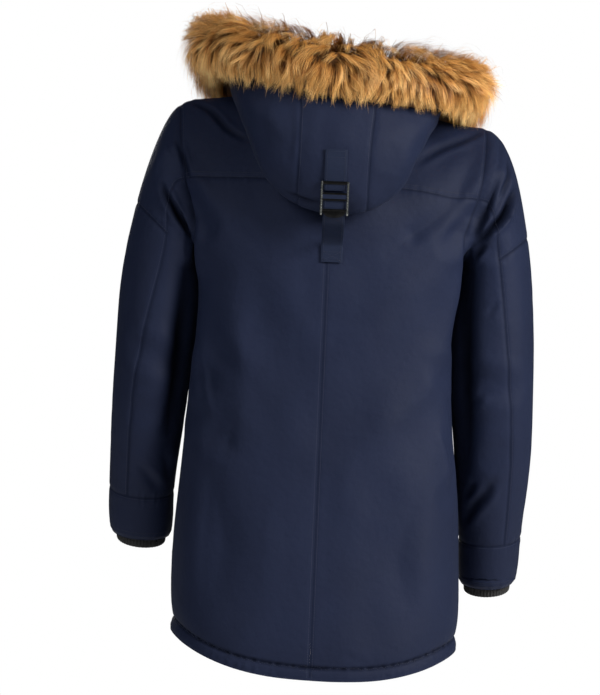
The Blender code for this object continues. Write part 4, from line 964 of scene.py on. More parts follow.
def walled(points, normals, fine, coarse, thickness, gap):
    """A closed wall. The fine faces are its outside and the coarse ones its inside; every coarse edge is one
    or two fine ones. Returns points, quads, triangles, how many quads are outside, and the vertices used."""
    ways = inward_ways(points, fine)
    shifted = points.copy()
    for i, way in ways.items():
        shifted[i] += way * gap
    used_out, used_in = np.unique(fine), np.unique(coarse)
    place_out = np.full(len(points), -1)
    place_out[used_out] = np.arange(len(used_out))
    place_in = np.full(len(points), -1)
    place_in[used_in] = len(used_out) + np.arange(len(used_in))
    inner = shifted[used_in] - normals[used_in] * thickness
    quads = np.concatenate([place_out[fine], place_in[coarse][:, ::-1]])
    onward = dict(open_edges(fine).tolist())
    rim = []
    for a, b in open_edges(coarse).tolist():
        m = onward[a]
        low_a, low_b = place_in[a], place_in[b]
        if m == b:
            rim += [(place_out[b], place_out[a], low_a), (place_out[b], low_a, low_b)]
        else:
            top_a, top_m, top_b = place_out[a], place_out[m], place_out[b]
            rim += [(top_m, top_a, low_a), (top_m, low_a, low_b), (top_b, top_m, low_b)]
    return np.concatenate([shifted[used_out], inner]), quads, np.array(rim), len(fine), used_out, used_in


def tube(centres, sides, ups, profile, closed=False):
    """Points and faces of a profile swept along a line, with fans over its two ends."""
    ring = len(profile)
    px, py = profile[:, 0][None, :, None], profile[:, 1][None, :, None]
    points = centres[:, None] + sides[:, None] * px + ups[:, None] * py
    rows = len(centres)
    quads = []
    for i in range(rows if closed else rows - 1):
        a, b = i * ring, (i + 1) % rows * ring
        k = np.arange(ring)
        m = (k + 1) % ring
        quads.append(np.stack([a + k, a + m, b + m, b + k], -1))
    points = points.reshape(-1, 3)
    tris = []
    if not closed:
        for row, flip in ((0, True), (rows - 1, False)):
            hub = len(points)
            points = np.concatenate([points, centres[row][None]])
            k = row * ring + np.arange(ring)
            m = row * ring + (np.arange(ring) + 1) % ring
            around = [m, k] if flip else [k, m]
            tris.append(np.stack([*around, np.full(ring, hub)], -1))
    return points, np.concatenate(quads), np.concatenate(tris) if tris else np.zeros((0, 3), int)


def grid_quads(levels, columns, step=1):
    """Faces between the rows and columns of a grid of points, and the column at which each starts."""
    i, j = np.meshgrid(np.arange(0, levels - 1, step), np.arange(0, columns - 1, step), indexing="ij")
    a = (i * columns + j).ravel()
    return np.stack([a, a + step, a + step * (columns + 1), a + step * columns], -1), j.ravel()


def copies(faces, size, count):
    """The faces of one small form of this many points, for all its copies."""
    faces = np.array(faces)
    return (faces[None] + size * np.arange(count)[:, None, None]).reshape(-1, faces.shape[1])


def joined(parts):
    """One set of points, quads and triangles from several."""
    points, quads, tris, base = [], [], [], 0
    for p, q, t in parts:
        points.append(p)
        quads.append(q + base)
        tris.append(t + base)
        base += len(p)
    return np.concatenate(points), np.concatenate(quads), np.concatenate(tris)


def rounded_box(width, height, power=4.0, steps=16):
    """Profile of a rounded rectangle."""
    angles = np.linspace(0, 2 * math.pi, steps, endpoint=False)
    c, s = np.cos(angles), np.sin(angles)
    x = np.sign(c) * np.abs(c) ** (2 / power) * width / 2
    y = np.sign(s) * np.abs(s) ** (2 / power) * height / 2
    return np.stack([x, y], -1)


# ---------------------------------------------------------------- folds and seams


def polyline_field(points, path):
    """Distance of each point from a line, its place along it from 0 to 1, and its foot."""
    lengths = np.linalg.norm(np.diff(path, axis=0), axis=1)
    best = np.full(len(points), np.inf)
    place = np.zeros(len(points))
    foot = np.zeros_like(points)
    start = 0.0
    for a, b, length in zip(path, path[1:], lengths):
        t = np.clip((points - a) @ (b - a) / length**2, 0, 1)
        spot = a + t[:, None] * (b - a)
        d = np.linalg.norm(points - spot, axis=1)
        near = d < best
        best[near] = d[near]
        place[near] = (start + t[near] * length) / lengths.sum()
        foot[near] = spot[near]
        start += length
    return best, place, foot


def fold_depths(points, tree):
    """The large folds, as in the solids."""
    depth = np.zeros(len(points))
    for fold in FOLDS:
        places = [Vector((x, fold["face"] * FOLD_SIDE, z)) for x, z in (fold["a"], fold["b"])]
        ends = [tree.find_nearest(place)[0] for place in places]
        d, s, _ = polyline_field(points, np.array(ends))
        off = d / fold["width"]
        profile = np.exp(-off * off) - FOLD_RIDGE * np.exp(-((off - 1.7) ** 2) * 2)
        depth += fold["depth"] * profile * (1 - 0.5 * np.abs(2 * s - 1))
    return depth


def straight_on(tree, place, face):
    """Where the surface lies straight behind a place at its side, or the nearest spot beside its outline."""
    return tree.ray_cast(place, Vector((0, -face, 0)))[0] or tree.find_nearest(place)[0]


def crease_depths(points, tree, creases, side, on=None):
    """Creases along paths over the surface: a trough with one raised lip, fading out at both ends.

    Returns the depths and the shade painted into the colour, as how far each point lies in the dark of a deep
    fold."""
    depth, dark = np.zeros(len(points)), np.zeros(len(points))
    for crease in creases:
        knots = [Vector((x, crease["face"] * side, z)) for x, z in crease["path"]]
        line = smooth_path(knots, (CREASE_STEPS,) * (len(knots) - 1))
        path = np.array([straight_on(tree, p, crease["face"]) for p in line])
        width = crease["width"]
        reach = CREASE_REACH * width
        near = np.all((points > path.min(0) - reach) & (points < path.max(0) + reach), axis=1)
        if crease["on"]:
            near &= on[crease["on"]]
        d, s, foot = polyline_field(points[near], path)
        onward = path[-1] - path[0]
        offset = points[near] - foot
        turn = np.sign(offset[:, 0] * onward[2] - offset[:, 2] * onward[0])
        off = d / width
        trough = np.exp(-(off**1.6))
        lip = np.exp(-((off - 1.5) ** 2) * 1.6)
        fade = np.sin(math.pi * np.clip(s, 0.02, 0.98)) ** 0.6
        depth[near] += crease["depth"] * fade * (trough - crease["lip"] * lip * (0.35 + 0.65 * (turn > 0)))
        # painted shade: how far the cloth's colour is darkened in the crease's depth
        dark[near] = np.maximum(dark[near], crease["dark"] * fade * np.exp(-((off * 0.95) ** 2)))
    return depth, dark


def seam_style(names, pair):
    """Depth of a seam's valley and the height of the puckers beside it."""
    first = names[pair[0]]
    second = names[pair[1]] if pair[1] >= 0 else "edge"
    both = {first, second}
    if second == "edge":
        return (0.0016, 0.0007) if first.startswith(("back", "front")) else (0.0014, 0.0004)
    if both == {"back_left", "back_right"}:
        return 0.0009, 0.0002
    if any(n.startswith("sleeve") for n in both) and any(n.startswith(("back", "front")) for n in both):
        return 0.0013, 0.0003
    if any(n.startswith("cuff") for n in both):
        return 0.0012, 0.0005
    if both == {"front_left", "front_right"}:
        return 0.0, 0.0
    return 0.0012, 0.0004


def nearest_of(points, spots):
    """Number and distance of the nearest spot for each point."""
    finder = KDTree(len(spots))
    for i, p in enumerate(spots):
        finder.insert(p, i)
    finder.balance()
    found = [finder.find(p) for p in points]
    return np.array([f[1] for f in found]), np.array([f[2] for f in found])


def seam_depths(points, seams, names):
    """Valleys along the seams, rounded free edges and small puckers across them, and shade painted into the
    colour as a thin dark line in each seam's valley and in the hem's sewn groove.
    """
    spots, arcs, styles = [], [], []
    for pair, lines in seams.items():
        style = seam_style(names, pair)
        for line in lines:
            arcs.append(along_line(points[line]) + 0.37 * len(spots))
            spots.append(points[line])
            styles.append(np.tile(style, (len(line), 1)))
    spots, arcs, styles = np.concatenate(spots), np.concatenate(arcs), np.concatenate(styles)
    nearest, distance = nearest_of(points, spots)
    valley, pucker = styles[nearest].T
    s = arcs[nearest]
    ripple = sum(
        height * np.sin(2 * math.pi * s / length + wander * np.sin(s / over))
        for height, length, wander, over in PUCKERS
    )
    ripple /= 1.6
    uneven = 0.55 + 0.45 * np.sin(s / 0.038 + 1.7)
    depth = valley * bell(distance, VALLEY_WIDTH)
    depth += pucker * ripple * uneven * bell(distance - PUCKER_OFF, PUCKER_WIDTH)
    # painted shade: a thin dark line down the seam's valley
    dark = 0.4 * np.clip(valley / 0.0012, 0, 1) * bell(distance, SEAM_DARK_WIDTH)
    low = np.nonzero(points[:, 2] < HEM_BELOW)[0]
    if len(low):
        edges = [points[line] for pair, lines in seams.items() for line in lines if pair[1] < 0]
        edges = np.concatenate(edges)
        up = nearest_of(points[low], edges[edges[:, 2] < HEM_BELOW])[1]
        sewn, padded = bell(up - HEM_UP, HEM_SEWN_WIDTH), bell(up - 0.55 * HEM_UP, HEM_PAD_WIDTH)
        depth[low] += (HEM_SEWN_DEPTH + 0.0006 * ripple[low]) * sewn - HEM_PAD_HEIGHT * padded
        # painted shade in the hem's sewn groove
        dark[low] = np.maximum(dark[low] * (up > 0.004), (0.45 + 0.25 * ripple[low]) * sewn)
    return depth, distance, dark


# ---------------------------------------------------------------- shell


class Shell:
    """The outer surface of body and sleeves. A coarser level uses the first vertices of the finest one."""

    def __init__(self, cage):
        points = np.array(cage.points, float)
        self.names = sorted(set(cage.panels))
        faces = np.array(cage.faces)
        marks = np.array([self.names.index(p) for p in cage.panels])
        self.faces, self.marks = [faces], [marks]
        for _ in range(FINE):
            points, faces = refined(points, faces)
            marks = np.repeat(marks, 4)
            self.faces.append(faces)
            self.marks.append(marks)
        self.points = points
        self.shape()

    def shape(self):
        """Presses folds, seams and a slight unevenness into the surface, and keeps the shade to be painted
        into the colour of deep creases and seams.
        """
        fine, marks = self.faces[FINE], self.marks[FINE]
        self.seams = seam_chains(fine, marks)
        tree = surface_tree(self.points, self.faces[2])
        normals = vertex_normals(self.points, fine)
        sleeves = np.array([name.startswith(("sleeve", "cuff")) for name in self.names])[marks]
        on = {}
        for part, chosen in (("sleeve", sleeves), ("body", ~sleeves)):
            on[part] = np.zeros(len(self.points), bool)
            on[part][fine[chosen].ravel()] = True
        creased, self.dark = crease_depths(self.points, tree, CREASES, FOLD_SIDE, on)
        depth = fold_depths(self.points, tree) + creased
        patches = np.clip(waves(self.points, *CRUMPLED_PATCHES) * 0.6 + 0.4, 0, 1)
        depth += 0.0010 * waves(self.points, *DRAPE) + 0.00022 * waves(self.points, *CRUMPLE) * patches
        seam, self.from_seam, dark = seam_depths(self.points, self.seams, self.names)
        self.dark = np.maximum(self.dark, dark)
        self.points = self.points - normals * (depth + seam)[:, None]
        self.normals = vertex_normals(self.points, fine)
        self.tree = surface_tree(self.points, fine)

    def panel(self, name, level):
        chosen = self.marks[level] == self.names.index(name)
        return self.faces[level][chosen]


def body_arc():
    """Angle round the body against the length of its ring, from centre back, for the weave."""
    back = quarter_points(0.2, 0.14, np.linspace(0, 1, 40))
    front = quarter_points(0.2, 0.15, np.linspace(1, 0, 40))
    line = np.array([(x, y) for x, y in back] + [(x, -y) for x, y in front[1:]])
    lengths = np.concatenate([[0.0], np.cumsum(np.linalg.norm(np.diff(line, axis=0), axis=1))])
    return np.arctan2(line[:, 0], line[:, 1]), lengths


def cloth_places(name, points):
    """Where each point lies on the flat cloth, in metres, close enough for the scale of the weave."""
    x, y, z = points.T
    if name.startswith(("sleeve", "cuff")):
        rings = LEFT_RINGS if "left" in name else RIGHT_RINGS
        side = 1 if "left" in name else -1
        heights = [-(r["inner"][1] + r["outer"][1]) / 2 for r in rings]
        centre = np.interp(-z, heights, [side * (r["inner"][0] + r["outer"][0]) / 2 for r in rings])
        deep = np.interp(-z, heights, [r["y"] for r in rings])
        angle = np.arctan2(y - deep, (x - centre) * side)
        return np.stack([angle * SLEEVE_RADIUS, z], -1)
    angles, lengths = body_arc()
    across = np.sign(x) * np.interp(np.abs(np.arctan2(x, y)), angles, lengths)
    rise = np.clip((z + 0.16) / 0.06, 0, 1)
    return np.stack([across, z + 0.8 * rise * (0.13 - np.minimum(np.abs(y), 0.13))], -1)


def cloth_panel(surface, name, fine, coarse, wall, places, cloths):
    """A panel of the shell or the hood as a walled piece, worn at its seams, with shade painted into its
    colour in deep folds and seams.
    """
    faces = surface.panel(name, fine), surface.panel(name, coarse)
    parts = walled(surface.points, surface.normals, *faces, wall, CLOSED)
    points, quads, rim, outer, used_out, used_in = parts
    marks = np.zeros(len(quads) + len(rim), int)
    marks[outer : len(quads)] = 1
    inside = np.zeros(len(used_in))
    tints = {}
    # deep carries the painted shade of deep folds and seams
    for tint, values in (("wear", bell(surface.from_seam, WEAR_REACH)), ("deep", surface.dark)):
        tints[tint] = np.concatenate([values[used_out], inside])
    uv = places(name, points)
    obj = made(f"{name}_cloth", points, [quads, rim], cloths, "navy_shell", marks, uv, tints)
    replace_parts(obj, name)
    return obj


def shell_pieces(shell, cloths):
    pieces = {}
    for name in shell.names:
        level = HIDDEN if name in PLAIN_PANELS else FINE
        pieces[name] = cloth_panel(shell, name, level, level - 1, SHELL_WALL, cloth_places, cloths)
    return pieces


# ---------------------------------------------------------------- hood


def roll_line(rows, steps):
    """Stations of the fur roll as arrays: its middle, its own direction and the way to the hood's edge."""
    counts = (steps,) * (len(rows) - 1)
    centres = np.array(smooth_path([row[-1] for row in rows], counts))
    edges = np.array(smooth_path([row[-2] for row in rows], counts))
    along = unit(np.gradient(centres, axis=0))
    seam = edges - centres
    seam -= along * np.sum(seam * along, axis=1)[:, None]
    return centres, along, unit(seam)


def off_line(points, line, distance):
    """Points, moved straight away from a line where they come nearer to it than this."""
    _, _, foot = polyline_field(points, line)
    gaps = np.linalg.norm(points - foot, axis=1)[:, None]
    return foot + unit(points - foot) * np.maximum(gaps, distance)


class Hood:
    """The hood's shell face as a fine grid, from the neck seam (level 0) to the fur's edge (last level)."""

    def __init__(self, neck_rim, body):
        rows = section_rows()
        for row in rows:
            row[0] = seat_on_rim(row[0], row[1], neck_rim)
        self.rows = rows
        lines = [smooth_path(row[:-1], [HOOD_FINE * s for s in HOOD_STEPS]) for row in rows]
        grid = np.array([smooth_path(c, (HOOD_ACROSS,) * (len(rows) - 1)) for c in zip(*lines)])
        centres, _, seam = roll_line(rows, HOOD_ACROSS)
        low = HOOD_FINE * (HOOD_STEPS[0] + HOOD_STEPS[1])
        for turn in range(HOOD_ROUNDS):
            for level in range(low, len(grid) - 1):
                share = smooth(low, low + 2 * HOOD_FINE, level)
                row = off_line(grid[level], centres, (FUR_RADIUS + HOOD_OFF_FUR) * share)
                grid[level] = [clear_of(body, Vector(p), HOOD_CLEARANCE * share) for p in row]
            grid[-1] = centres + seam * (FUR_RADIUS + FUR_GAP)
            if turn < HOOD_ROUNDS - 1:
                inner = grid[low:-1, 1:-1]
                around = grid[low - 1 : -2, 1:-1] + grid[low + 1 :, 1:-1]
                around = around + grid[low:-1, :-2] + grid[low:-1, 2:]
                grid[low:-1, 1:-1] = inner + 0.5 * (around / 4 - inner)
        onward = grid[1].copy()
        grid[0] = [seat_on_rim(Vector(p), Vector(q), neck_rim) for p, q in zip(grid[0], onward)]

        self.names = ["hood_centre", "hood_left", "hood_right"]
        self.faces, self.marks = {}, {}
        for step in (1, 2):
            self.faces[step], self.marks[step] = self.grid_faces(*grid.shape[:2], step)
        points = grid.reshape(-1, 3)
        fine = self.faces[1]
        normals = vertex_normals(points, fine)
        tree = surface_tree(points, fine)
        # dark: shade to be painted into the colour of the hood's creases and seams
        depth, self.dark = crease_depths(points, tree, HOOD_CREASES, HOOD_SIDE)
        depth += 0.0008 * waves(points, *HOOD_DRAPE) + 0.0002 * waves(points, *HOOD_CRUMPLE)
        self.seams = seam_chains(fine, self.marks[1])
        seam_depth, self.from_seam, dark = seam_depths(points, self.seams, self.names)
        self.dark = np.maximum(self.dark, dark)
        self.points = points - normals * (depth + seam_depth)[:, None]
        self.normals = vertex_normals(self.points, fine)
        self.tree = surface_tree(self.points, fine)

    def grid_faces(self, levels, columns, step):
        faces, starts = grid_quads(levels, columns, step)
        place = starts + step / 2 - (columns - 1) / 2
        half = HOOD_ACROSS * GUSSET_SECTION
        return faces, np.where(place < -half, 1, np.where(place > half, 2, 0))

    def panel(self, name, step):
        return self.faces[step][self.marks[step] == self.names.index(name)]


def hood_places(name, points):
    return np.stack([points[:, 0], points[:, 2] + 0.6 * points[:, 1]], -1)


def hood_pieces(hood, cloths):
    return {name: cloth_panel(hood, name, 1, 2, HOOD_WALL, hood_places, cloths) for name in hood.names}


# ---------------------------------------------------------------- stitches


def stitch_run(line, tree):
    """Places, ways and normals of the stitches along a line over a surface."""
    found = [tree.find_nearest(Vector(p)) for p in line]
    spots, ways = resampled(np.array([f[0] for f in found]), STITCH["pitch"])
    if not len(spots):
        return spots, ways, ways
    found = [tree.find_nearest(Vector(p)) for p in spots]
    return np.array([f[0] for f in found]), ways, np.array([f[1] for f in found])


def stitched(name, runs, thread, slot):
    """All stitches of these runs as one piece, each a short thread that dips in at both ends."""
    spots, ways, normals = (np.concatenate(part) for part in zip(*runs))
    ways = unit(ways - normals * np.sum(ways * normals, axis=1)[:, None])
    sides = np.cross(ways, normals)
    half, wide, high = STITCH["length"] / 2, STITCH["width"] / 2, STITCH["height"] / 2
    form = [(f, a, b) for f in (-0.6, 0.6) for a, b in ((1, 0.3), (0, 1.3), (-1, 0.3), (0, -0.7))]
    form = np.array(form + [(-1, 0, -0.6), (1, 0, -0.6)]) * (half, wide, high)
    points = spots[:, None] + ways[:, None] * form[None, :, :1] + sides[:, None] * form[None, :, 1:2]
    points = points + normals[:, None] * form[None, :, 2:]
    quads = [(k, 4 + k, 4 + (k + 1) % 4, (k + 1) % 4) for k in range(4)]
    tris = [(k, (k + 1) % 4, 8) for k in range(4)] + [(4 + (k + 1) % 4, 4 + k, 9) for k in range(4)]
    polygons = [copies(faces, len(form), len(spots)) for faces in (quads, tris)]
    made(name, points.reshape(-1, 3), polygons, [thread], slot, sharp=180)


def topstitching(surface, level, thread, group):
    """The lines of TOPSTITCH that lie on this surface."""
    runs = []
    names = surface.names
    ways = {}
    lines = [(row, sides) for row in TOPSTITCH for sides in (("left", "right"), ("right", "left"))]
    for (carrier, beyond, *distances), (side, other) in lines:
        carrier, beyond = (text.format(side=side, other=other) for text in (carrier, beyond))
        if carrier not in names:
            continue
        if carrier not in ways:
            ways[carrier] = inward_ways(surface.points, surface.panel(carrier, level))
        free = beyond == "edge"
        place = names.index(carrier)
        pair = (place, -1) if free else tuple(sorted((place, names.index(beyond))))
        for line in surface.seams.get(pair, []):
            points = surface.points[line]
            if free and not carrier.startswith("cuff") and points[:, 2].mean() > HEM_BELOW:
                continue
            way = np.array([ways[carrier][v] for v in line])
            for distance in distances:
                runs.append(stitch_run(points + way * distance, surface.tree))
    stitched(group, [r for r in runs if len(r[0])], thread, "navy_shell")


# ---------------------------------------------------------------- fur


def fur_base(centres, along, seam, under):
    """The leather roll under the hairs, with a lip that meets the hood's edge."""
    angles = np.linspace(0, 2 * math.pi, 40, endpoint=False)
    turn = np.minimum(angles, 2 * math.pi - angles)
    radius = FUR_BASE + FUR_BASE_LIP * bell(turn, math.radians(26))
    across = np.cross(along, seam)
    inner = -np.sign(across[np.argmax(centres[:, 1]), 1])
    aside = inner * np.where(angles > math.pi, angles - 2 * math.pi, angles)
    radius += FUR_BASE_TUCK * bell(aside / math.radians(1) - 15, 9)
    profile = np.stack([radius * np.cos(angles), radius * np.sin(angles)], -1)
    points, quads, tris = tube(centres, seam, across, profile)
    return made("fur_base", points, [quads, tris], [under], "golden_fur")


def hair_mesh(name, paths, outs, widths, tints, guard, coat):
    """Flat tapered hairs from their middle lines (hair, step, xyz)."""
    count, steps = paths.shape[:2]
    onward = np.gradient(paths, axis=1)
    sides = unit(np.cross(onward, outs))
    offset = sides * (widths[:, None] * np.array(HAIR_TAPER) / 2)[..., None]
    left, right = paths + offset, paths - offset
    edges = np.stack([left[:, :-1], right[:, :-1]], 2).reshape(count, -1, 3)
    points = np.concatenate([edges, paths[:, -1:]], 1)
    each = points.shape[1]
    k = 2 * np.arange(steps - 2)
    last = 2 * (steps - 2)
    forms = (np.stack([k, k + 1, k + 3, k + 2], -1), [(last, last + 1, last + 2)])
    polygons = [copies(faces, each, count) for faces in forms]
    along = np.concatenate([np.repeat(np.linspace(0, 1, steps)[:-1], 2), [1.0]])
    floats = {"tint": np.repeat(tints, each), "guard": np.repeat(guard, each), "along": np.tile(along, count)}
    made(name, points.reshape(-1, 3), polygons, [coat], "golden_fur", floats=floats, sharp=180)


def roll_places(centres, along, seam, share):
    """Middle and frame of the roll at shares of its length."""
    length = along_line(centres)
    spot = np.asarray(share) * length[-1]
    centre, tangent, edge = (at_lengths(spot, length, part) for part in (centres, along, seam))
    return centre, unit(tangent), unit(edge)


def soft_step(low, high, x):
    t = np.clip((x - low) / (high - low), 0, 1)
    return t * t * (3 - 2 * t)


def fur_locks(centres, along, seam):
    """Foot, way out, flow and length of every lock. They part at the back and flow outward and down."""
    length = along_line(centres)
    back = centres[:, 1] > 0.1
    part = np.interp(-PART_X, -centres[back, 0], length[back]) / length[-1]
    n, m = LOCKS
    share = ((np.arange(n)[:, None] + rng.uniform(0, 1, (n, m))) / n).ravel()
    turn = ((np.arange(m)[None] + rng.uniform(0, 1, (n, m))) / m).ravel()
    beside = share - part
    bare = BARE + BARE_FRONT * soft_step(0.34, 0.46, np.abs(beside))
    angle = np.radians(bare + (360 - 2 * bare) * turn)
    centre, tangent, edge = roll_places(centres, along, seam, share)
    out = edge * np.cos(angle)[:, None] + np.cross(tangent, edge) * np.sin(angle)[:, None]
    root = centre + out * FUR_BASE

    # high on top of the roll, low under it, and lobe away from the parting
    high, low = soft_step(-0.2, 0.9, out[:, 2]), soft_step(0.1, 0.9, -out[:, 2])
    lobe = soft_step(0.06, 0.19, np.abs(beside))
    mixed = beside + 0.022 * waves(root, (0.02, 0.05), 20, 36)
    outward = np.tanh(mixed / 0.055) * (0.75 + 0.25 * lobe) * (0.30 + 1.0 * high)
    outward *= 1 - 0.6 * soft_step(0.38, 0.47, np.abs(beside))
    swing = 0.22 * waves(root, (0.05, 0.11), 14, 31) + 0.20 * waves(root, (0.02, 0.045), 20, 33)
    lean = 0.16 * waves(root, (0.05, 0.10), 14, 32) + 0.14 * waves(root, (0.02, 0.045), 20, 34)
    swing += rng.normal(0, 0.11, len(root))
    lean += rng.normal(0, 0.09, len(root))
    down = np.array([0, 0, -1.0]) - out * (-out[:, 2] * (1 - 0.5 * low))[:, None]
    flow = tangent * (outward + swing)[:, None] + down * (1.0 - 0.75 * high + lean)[:, None]
    flow += np.array([0, 1.0, 0]) * (high * (0.6 - 0.3 * lobe))[:, None]
    flow = unit(flow - out * (np.sum(flow * out, axis=1) * (1 - low))[:, None])
    # locks are shorter below, beside the parting, in front and at the two ends
    size = rng.uniform(*LOCK_LENGTH, len(root)) * (1 - 0.25 * low)
    size *= 1 - (1 - high) * (0.28 * (1 - lobe) + 0.22 * bell(beside - 0.12, 0.07))
    size *= 1 - (0.55 - 0.25 * lobe) * soft_step(0.0, 0.5, -out[:, 1])
    size *= 1 - 0.35 * soft_step(0.43, 0.48, np.abs(beside))
    # and paler away from the parting and below
    pale = 0.9 * soft_step(0.10, 0.22, beside) + 2.9 * soft_step(0.15, 0.25, beside)
    pale += 1.5 * soft_step(0.03, 0.12, -beside) + 1.9 * soft_step(0.11, 0.19, -beside)
    pale += 0.1 * high + 0.6 * low - 0.35
    ends = 0.35 * soft_step(0.17, 0.26, beside) + 0.25 * soft_step(0.19, 0.27, -beside)
    lift = 0.60 + high * (0.50 + 0.40 * (1 - lobe) - ends) - 0.20 * low
    return dict(
        root=root,
        out=out,
        flow=flow,
        size=size,
        centre=centre,
        share=share,
        free=2.0 - lobe,
        lift=lift + rng.normal(0, 0.07, len(root)),
        gather=rng.uniform(0.55, 0.95, len(root)),
        bend=rng.normal(0, 0.12, len(root)),
        tint=pale + rng.normal(0, 0.8, len(root)) + 0.6 * waves(root, (0.02, 0.05), 20, 35),
    )


def fur_pieces(centres, along, seam, coat, under):
    """The hide, the locks in three parted pieces, and longer loose hairs among them."""
    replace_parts(fur_base(centres, along, seam, under), "fur_trim")
    form = solid_tree("fur_trim")
    locks = fur_locks(centres, along, seam)
    share = locks["share"]
    for name, low, high in FUR_PARTS:
        chosen = (share >= low) & (share < high)
        own = {key: np.repeat(value[chosen], HAIRS, axis=0) for key, value in locks.items()}
        hairs_of(name, own, coat, form)
    picks = rng.integers(0, len(share), FLYAWAYS)
    wild = {key: value[picks] for key, value in locks.items()}
    wild["size"] = wild["size"] * rng.uniform(1.0, 1.45, FLYAWAYS)
    wild["lift"] = wild["lift"] + rng.uniform(0.0, 0.60, FLYAWAYS)
    hairs_of("fur_flyaways", wild, coat, form, loose=2.4, thin=1.1, guards=0.35, reach=FLYAWAY_REACH)


def solid_tree(name):
    """The surface of one of the solids."""
    solid = bpy.data.objects[name]
    corners = [solid.matrix_world @ v.co for v in solid.data.vertices]
    return BVHTree.FromPolygons(corners, [face.vertices[:] for face in solid.data.polygons])


def combed(paths, form, reach):
    """Lays the hairs down to the solid form, so that tips stand out of it by no more than their reach.

    They reach further at its sides and hang further below it."""
    t = np.linspace(0, 1, paths.shape[1])[None, :, None]
    for _ in range(2):
        over, ways = np.zeros(len(paths)), np.zeros((len(paths), 3))
        for i, tip in enumerate(paths[:, -1]):
            spot, normal = form.find_nearest(tip)[:2]
            over[i], ways[i] = (Vector(tip) - spot).dot(normal), normal
        over = np.maximum(over, 0)
        below, above = soft_step(-0.1, 0.6, -ways[:, 2]), ways[:, 2] > 0.5
        most = reach * (1 + 2.2 * ways[:, 0] ** 2 + 2.6 * below + 0.7 * above)
        most = np.minimum(most, MOST_OUT / np.maximum(np.abs(ways[:, 1]), 0.1))
        excess = over - most * (1 - np.exp(-over / most))
        paths = paths - (ways * excess[:, None])[:, None] * t**1.5
    return paths


def hairs_of(name, own, coat, form, loose=1.0, thin=1.0, guards=0.07, reach=TIP_REACH):
    """Hairs that start spread over each lock's foot and run together towards its tip."""
    count = len(own["root"])
    t = np.linspace(0, 1, len(HAIR_TAPER))[None, :, None]
    out, flow = own["out"], own["flow"]
    third = np.cross(out, flow)
    radius = LOCK_SPREAD * np.sqrt(rng.uniform(0, 1, count)) * loose
    turn = rng.uniform(0, 2 * math.pi, count)
    spread = flow * (radius * np.cos(turn))[:, None] + third * (radius * np.sin(turn))[:, None]
    length = (own["size"] * rng.uniform(0.70, 1.12, count))[:, None, None]
    stray = third * rng.normal(0, 0.09 * loose, count)[:, None]
    stray = stray + out * rng.normal(0, 0.07 * loose, count)[:, None]
    paths = own["root"][:, None] + spread[:, None] * (1 - own["gather"][:, None, None] * t**0.8)
    paths = paths + out[:, None] * length * own["lift"][:, None, None] * (t - 0.42 * t**2)
    paths = paths + flow[:, None] * length * 0.9 * (0.4 * t + 0.6 * t**2)
    paths = paths + third[:, None] * length * own["bend"][:, None, None] * np.sin(math.pi * t)
    paths = paths + stray[:, None] * length * t**1.5
    paths = paths + np.array([0, 0, -0.26]) * length * t**2
    paths = combed(paths, form, rng.uniform(*reach, count) * own["free"])
    outs = unit(paths - own["centre"][:, None])
    widths = rng.uniform(*HAIR_WIDTH, count) * thin
    tints = 0.5 + 0.15 * own["tint"] + rng.normal(0, 0.12, count)
    guard = (rng.uniform(0, 1, count) < guards).astype(float)
    hair_mesh(name, paths, outs, widths, tints, guard, coat)


# ---------------------------------------------------------------- straps, buckle, placket, rib


def strap(name, node, line, cloth):
    """A folded strip along a line of (y, z), with the runs of a stitch line beside each edge."""
    centres = np.array([(STRAP_X, y, z) for y, z in line])
    onward = unit(np.gradient(centres, axis=0))
    sides = np.tile([1.0, 0, 0], (len(centres), 1))
    outs = np.cross(sides, onward)
    outs *= np.sign(outs[:, 1:2] + 1e-9)
    centres = centres - outs * STRAP_WALL / 2
    points, quads, tris = tube(centres, sides, outs, rounded_box(STRAP_WIDTH, STRAP_WALL, 5.0, 28))
    uv = np.stack([points[:, 0], points[:, 2]], -1)
    wear = {"wear": np.zeros(len(points))}
    obj = made(name, points, [quads, tris], [cloth], "navy_webbing", uv=uv, floats=wear)
    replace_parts(obj, node)
    runs = []
    top = centres + outs * STRAP_WALL / 2
    for side in (-1, 1):
        edge = top + sides * side * (STRAP_WIDTH / 2 - STRAP_INSET)
        spots, ways = resampled(edge, STITCH["pitch"])
        level = np.interp(-spots[:, 2], -centres[:, 2], np.arange(len(centres)))
        runs.append((spots, ways, outs[np.round(level).astype(int)]))
    return obj, runs, (centres, outs)


def cross_run(frame_of, heights):
    """Stitches across a strap at heights, and a diagonal pair between two of them."""
    centres, outs = frame_of
    runs = []
    half = STRAP_WIDTH / 2 - STRAP_INSET

    def at(share, z):
        k = int(np.argmin(np.abs(centres[:, 2] - z)))
        y = np.interp(-z, -centres[:, 2], centres[:, 1])
        return np.array([STRAP_X + share * half, y, z]) + outs[k] * STRAP_WALL / 2, outs[k]

    lines = [((-1, z), (1, z)) for z in heights]
    if len(heights) > 1:
        lines += [((-1, heights[0]), (1, heights[1])), ((1, heights[0]), (-1, heights[1]))]
    for start, end in lines:
        steps = [at(lerp(start[0], end[0], k / 10), lerp(start[1], end[1], k / 10)) for k in range(11)]
        spots, ways = resampled(np.array([s[0] for s in steps]), STITCH["pitch"])
        runs.append((spots, ways, np.tile(steps[5][1], (len(spots), 1))))
    return runs


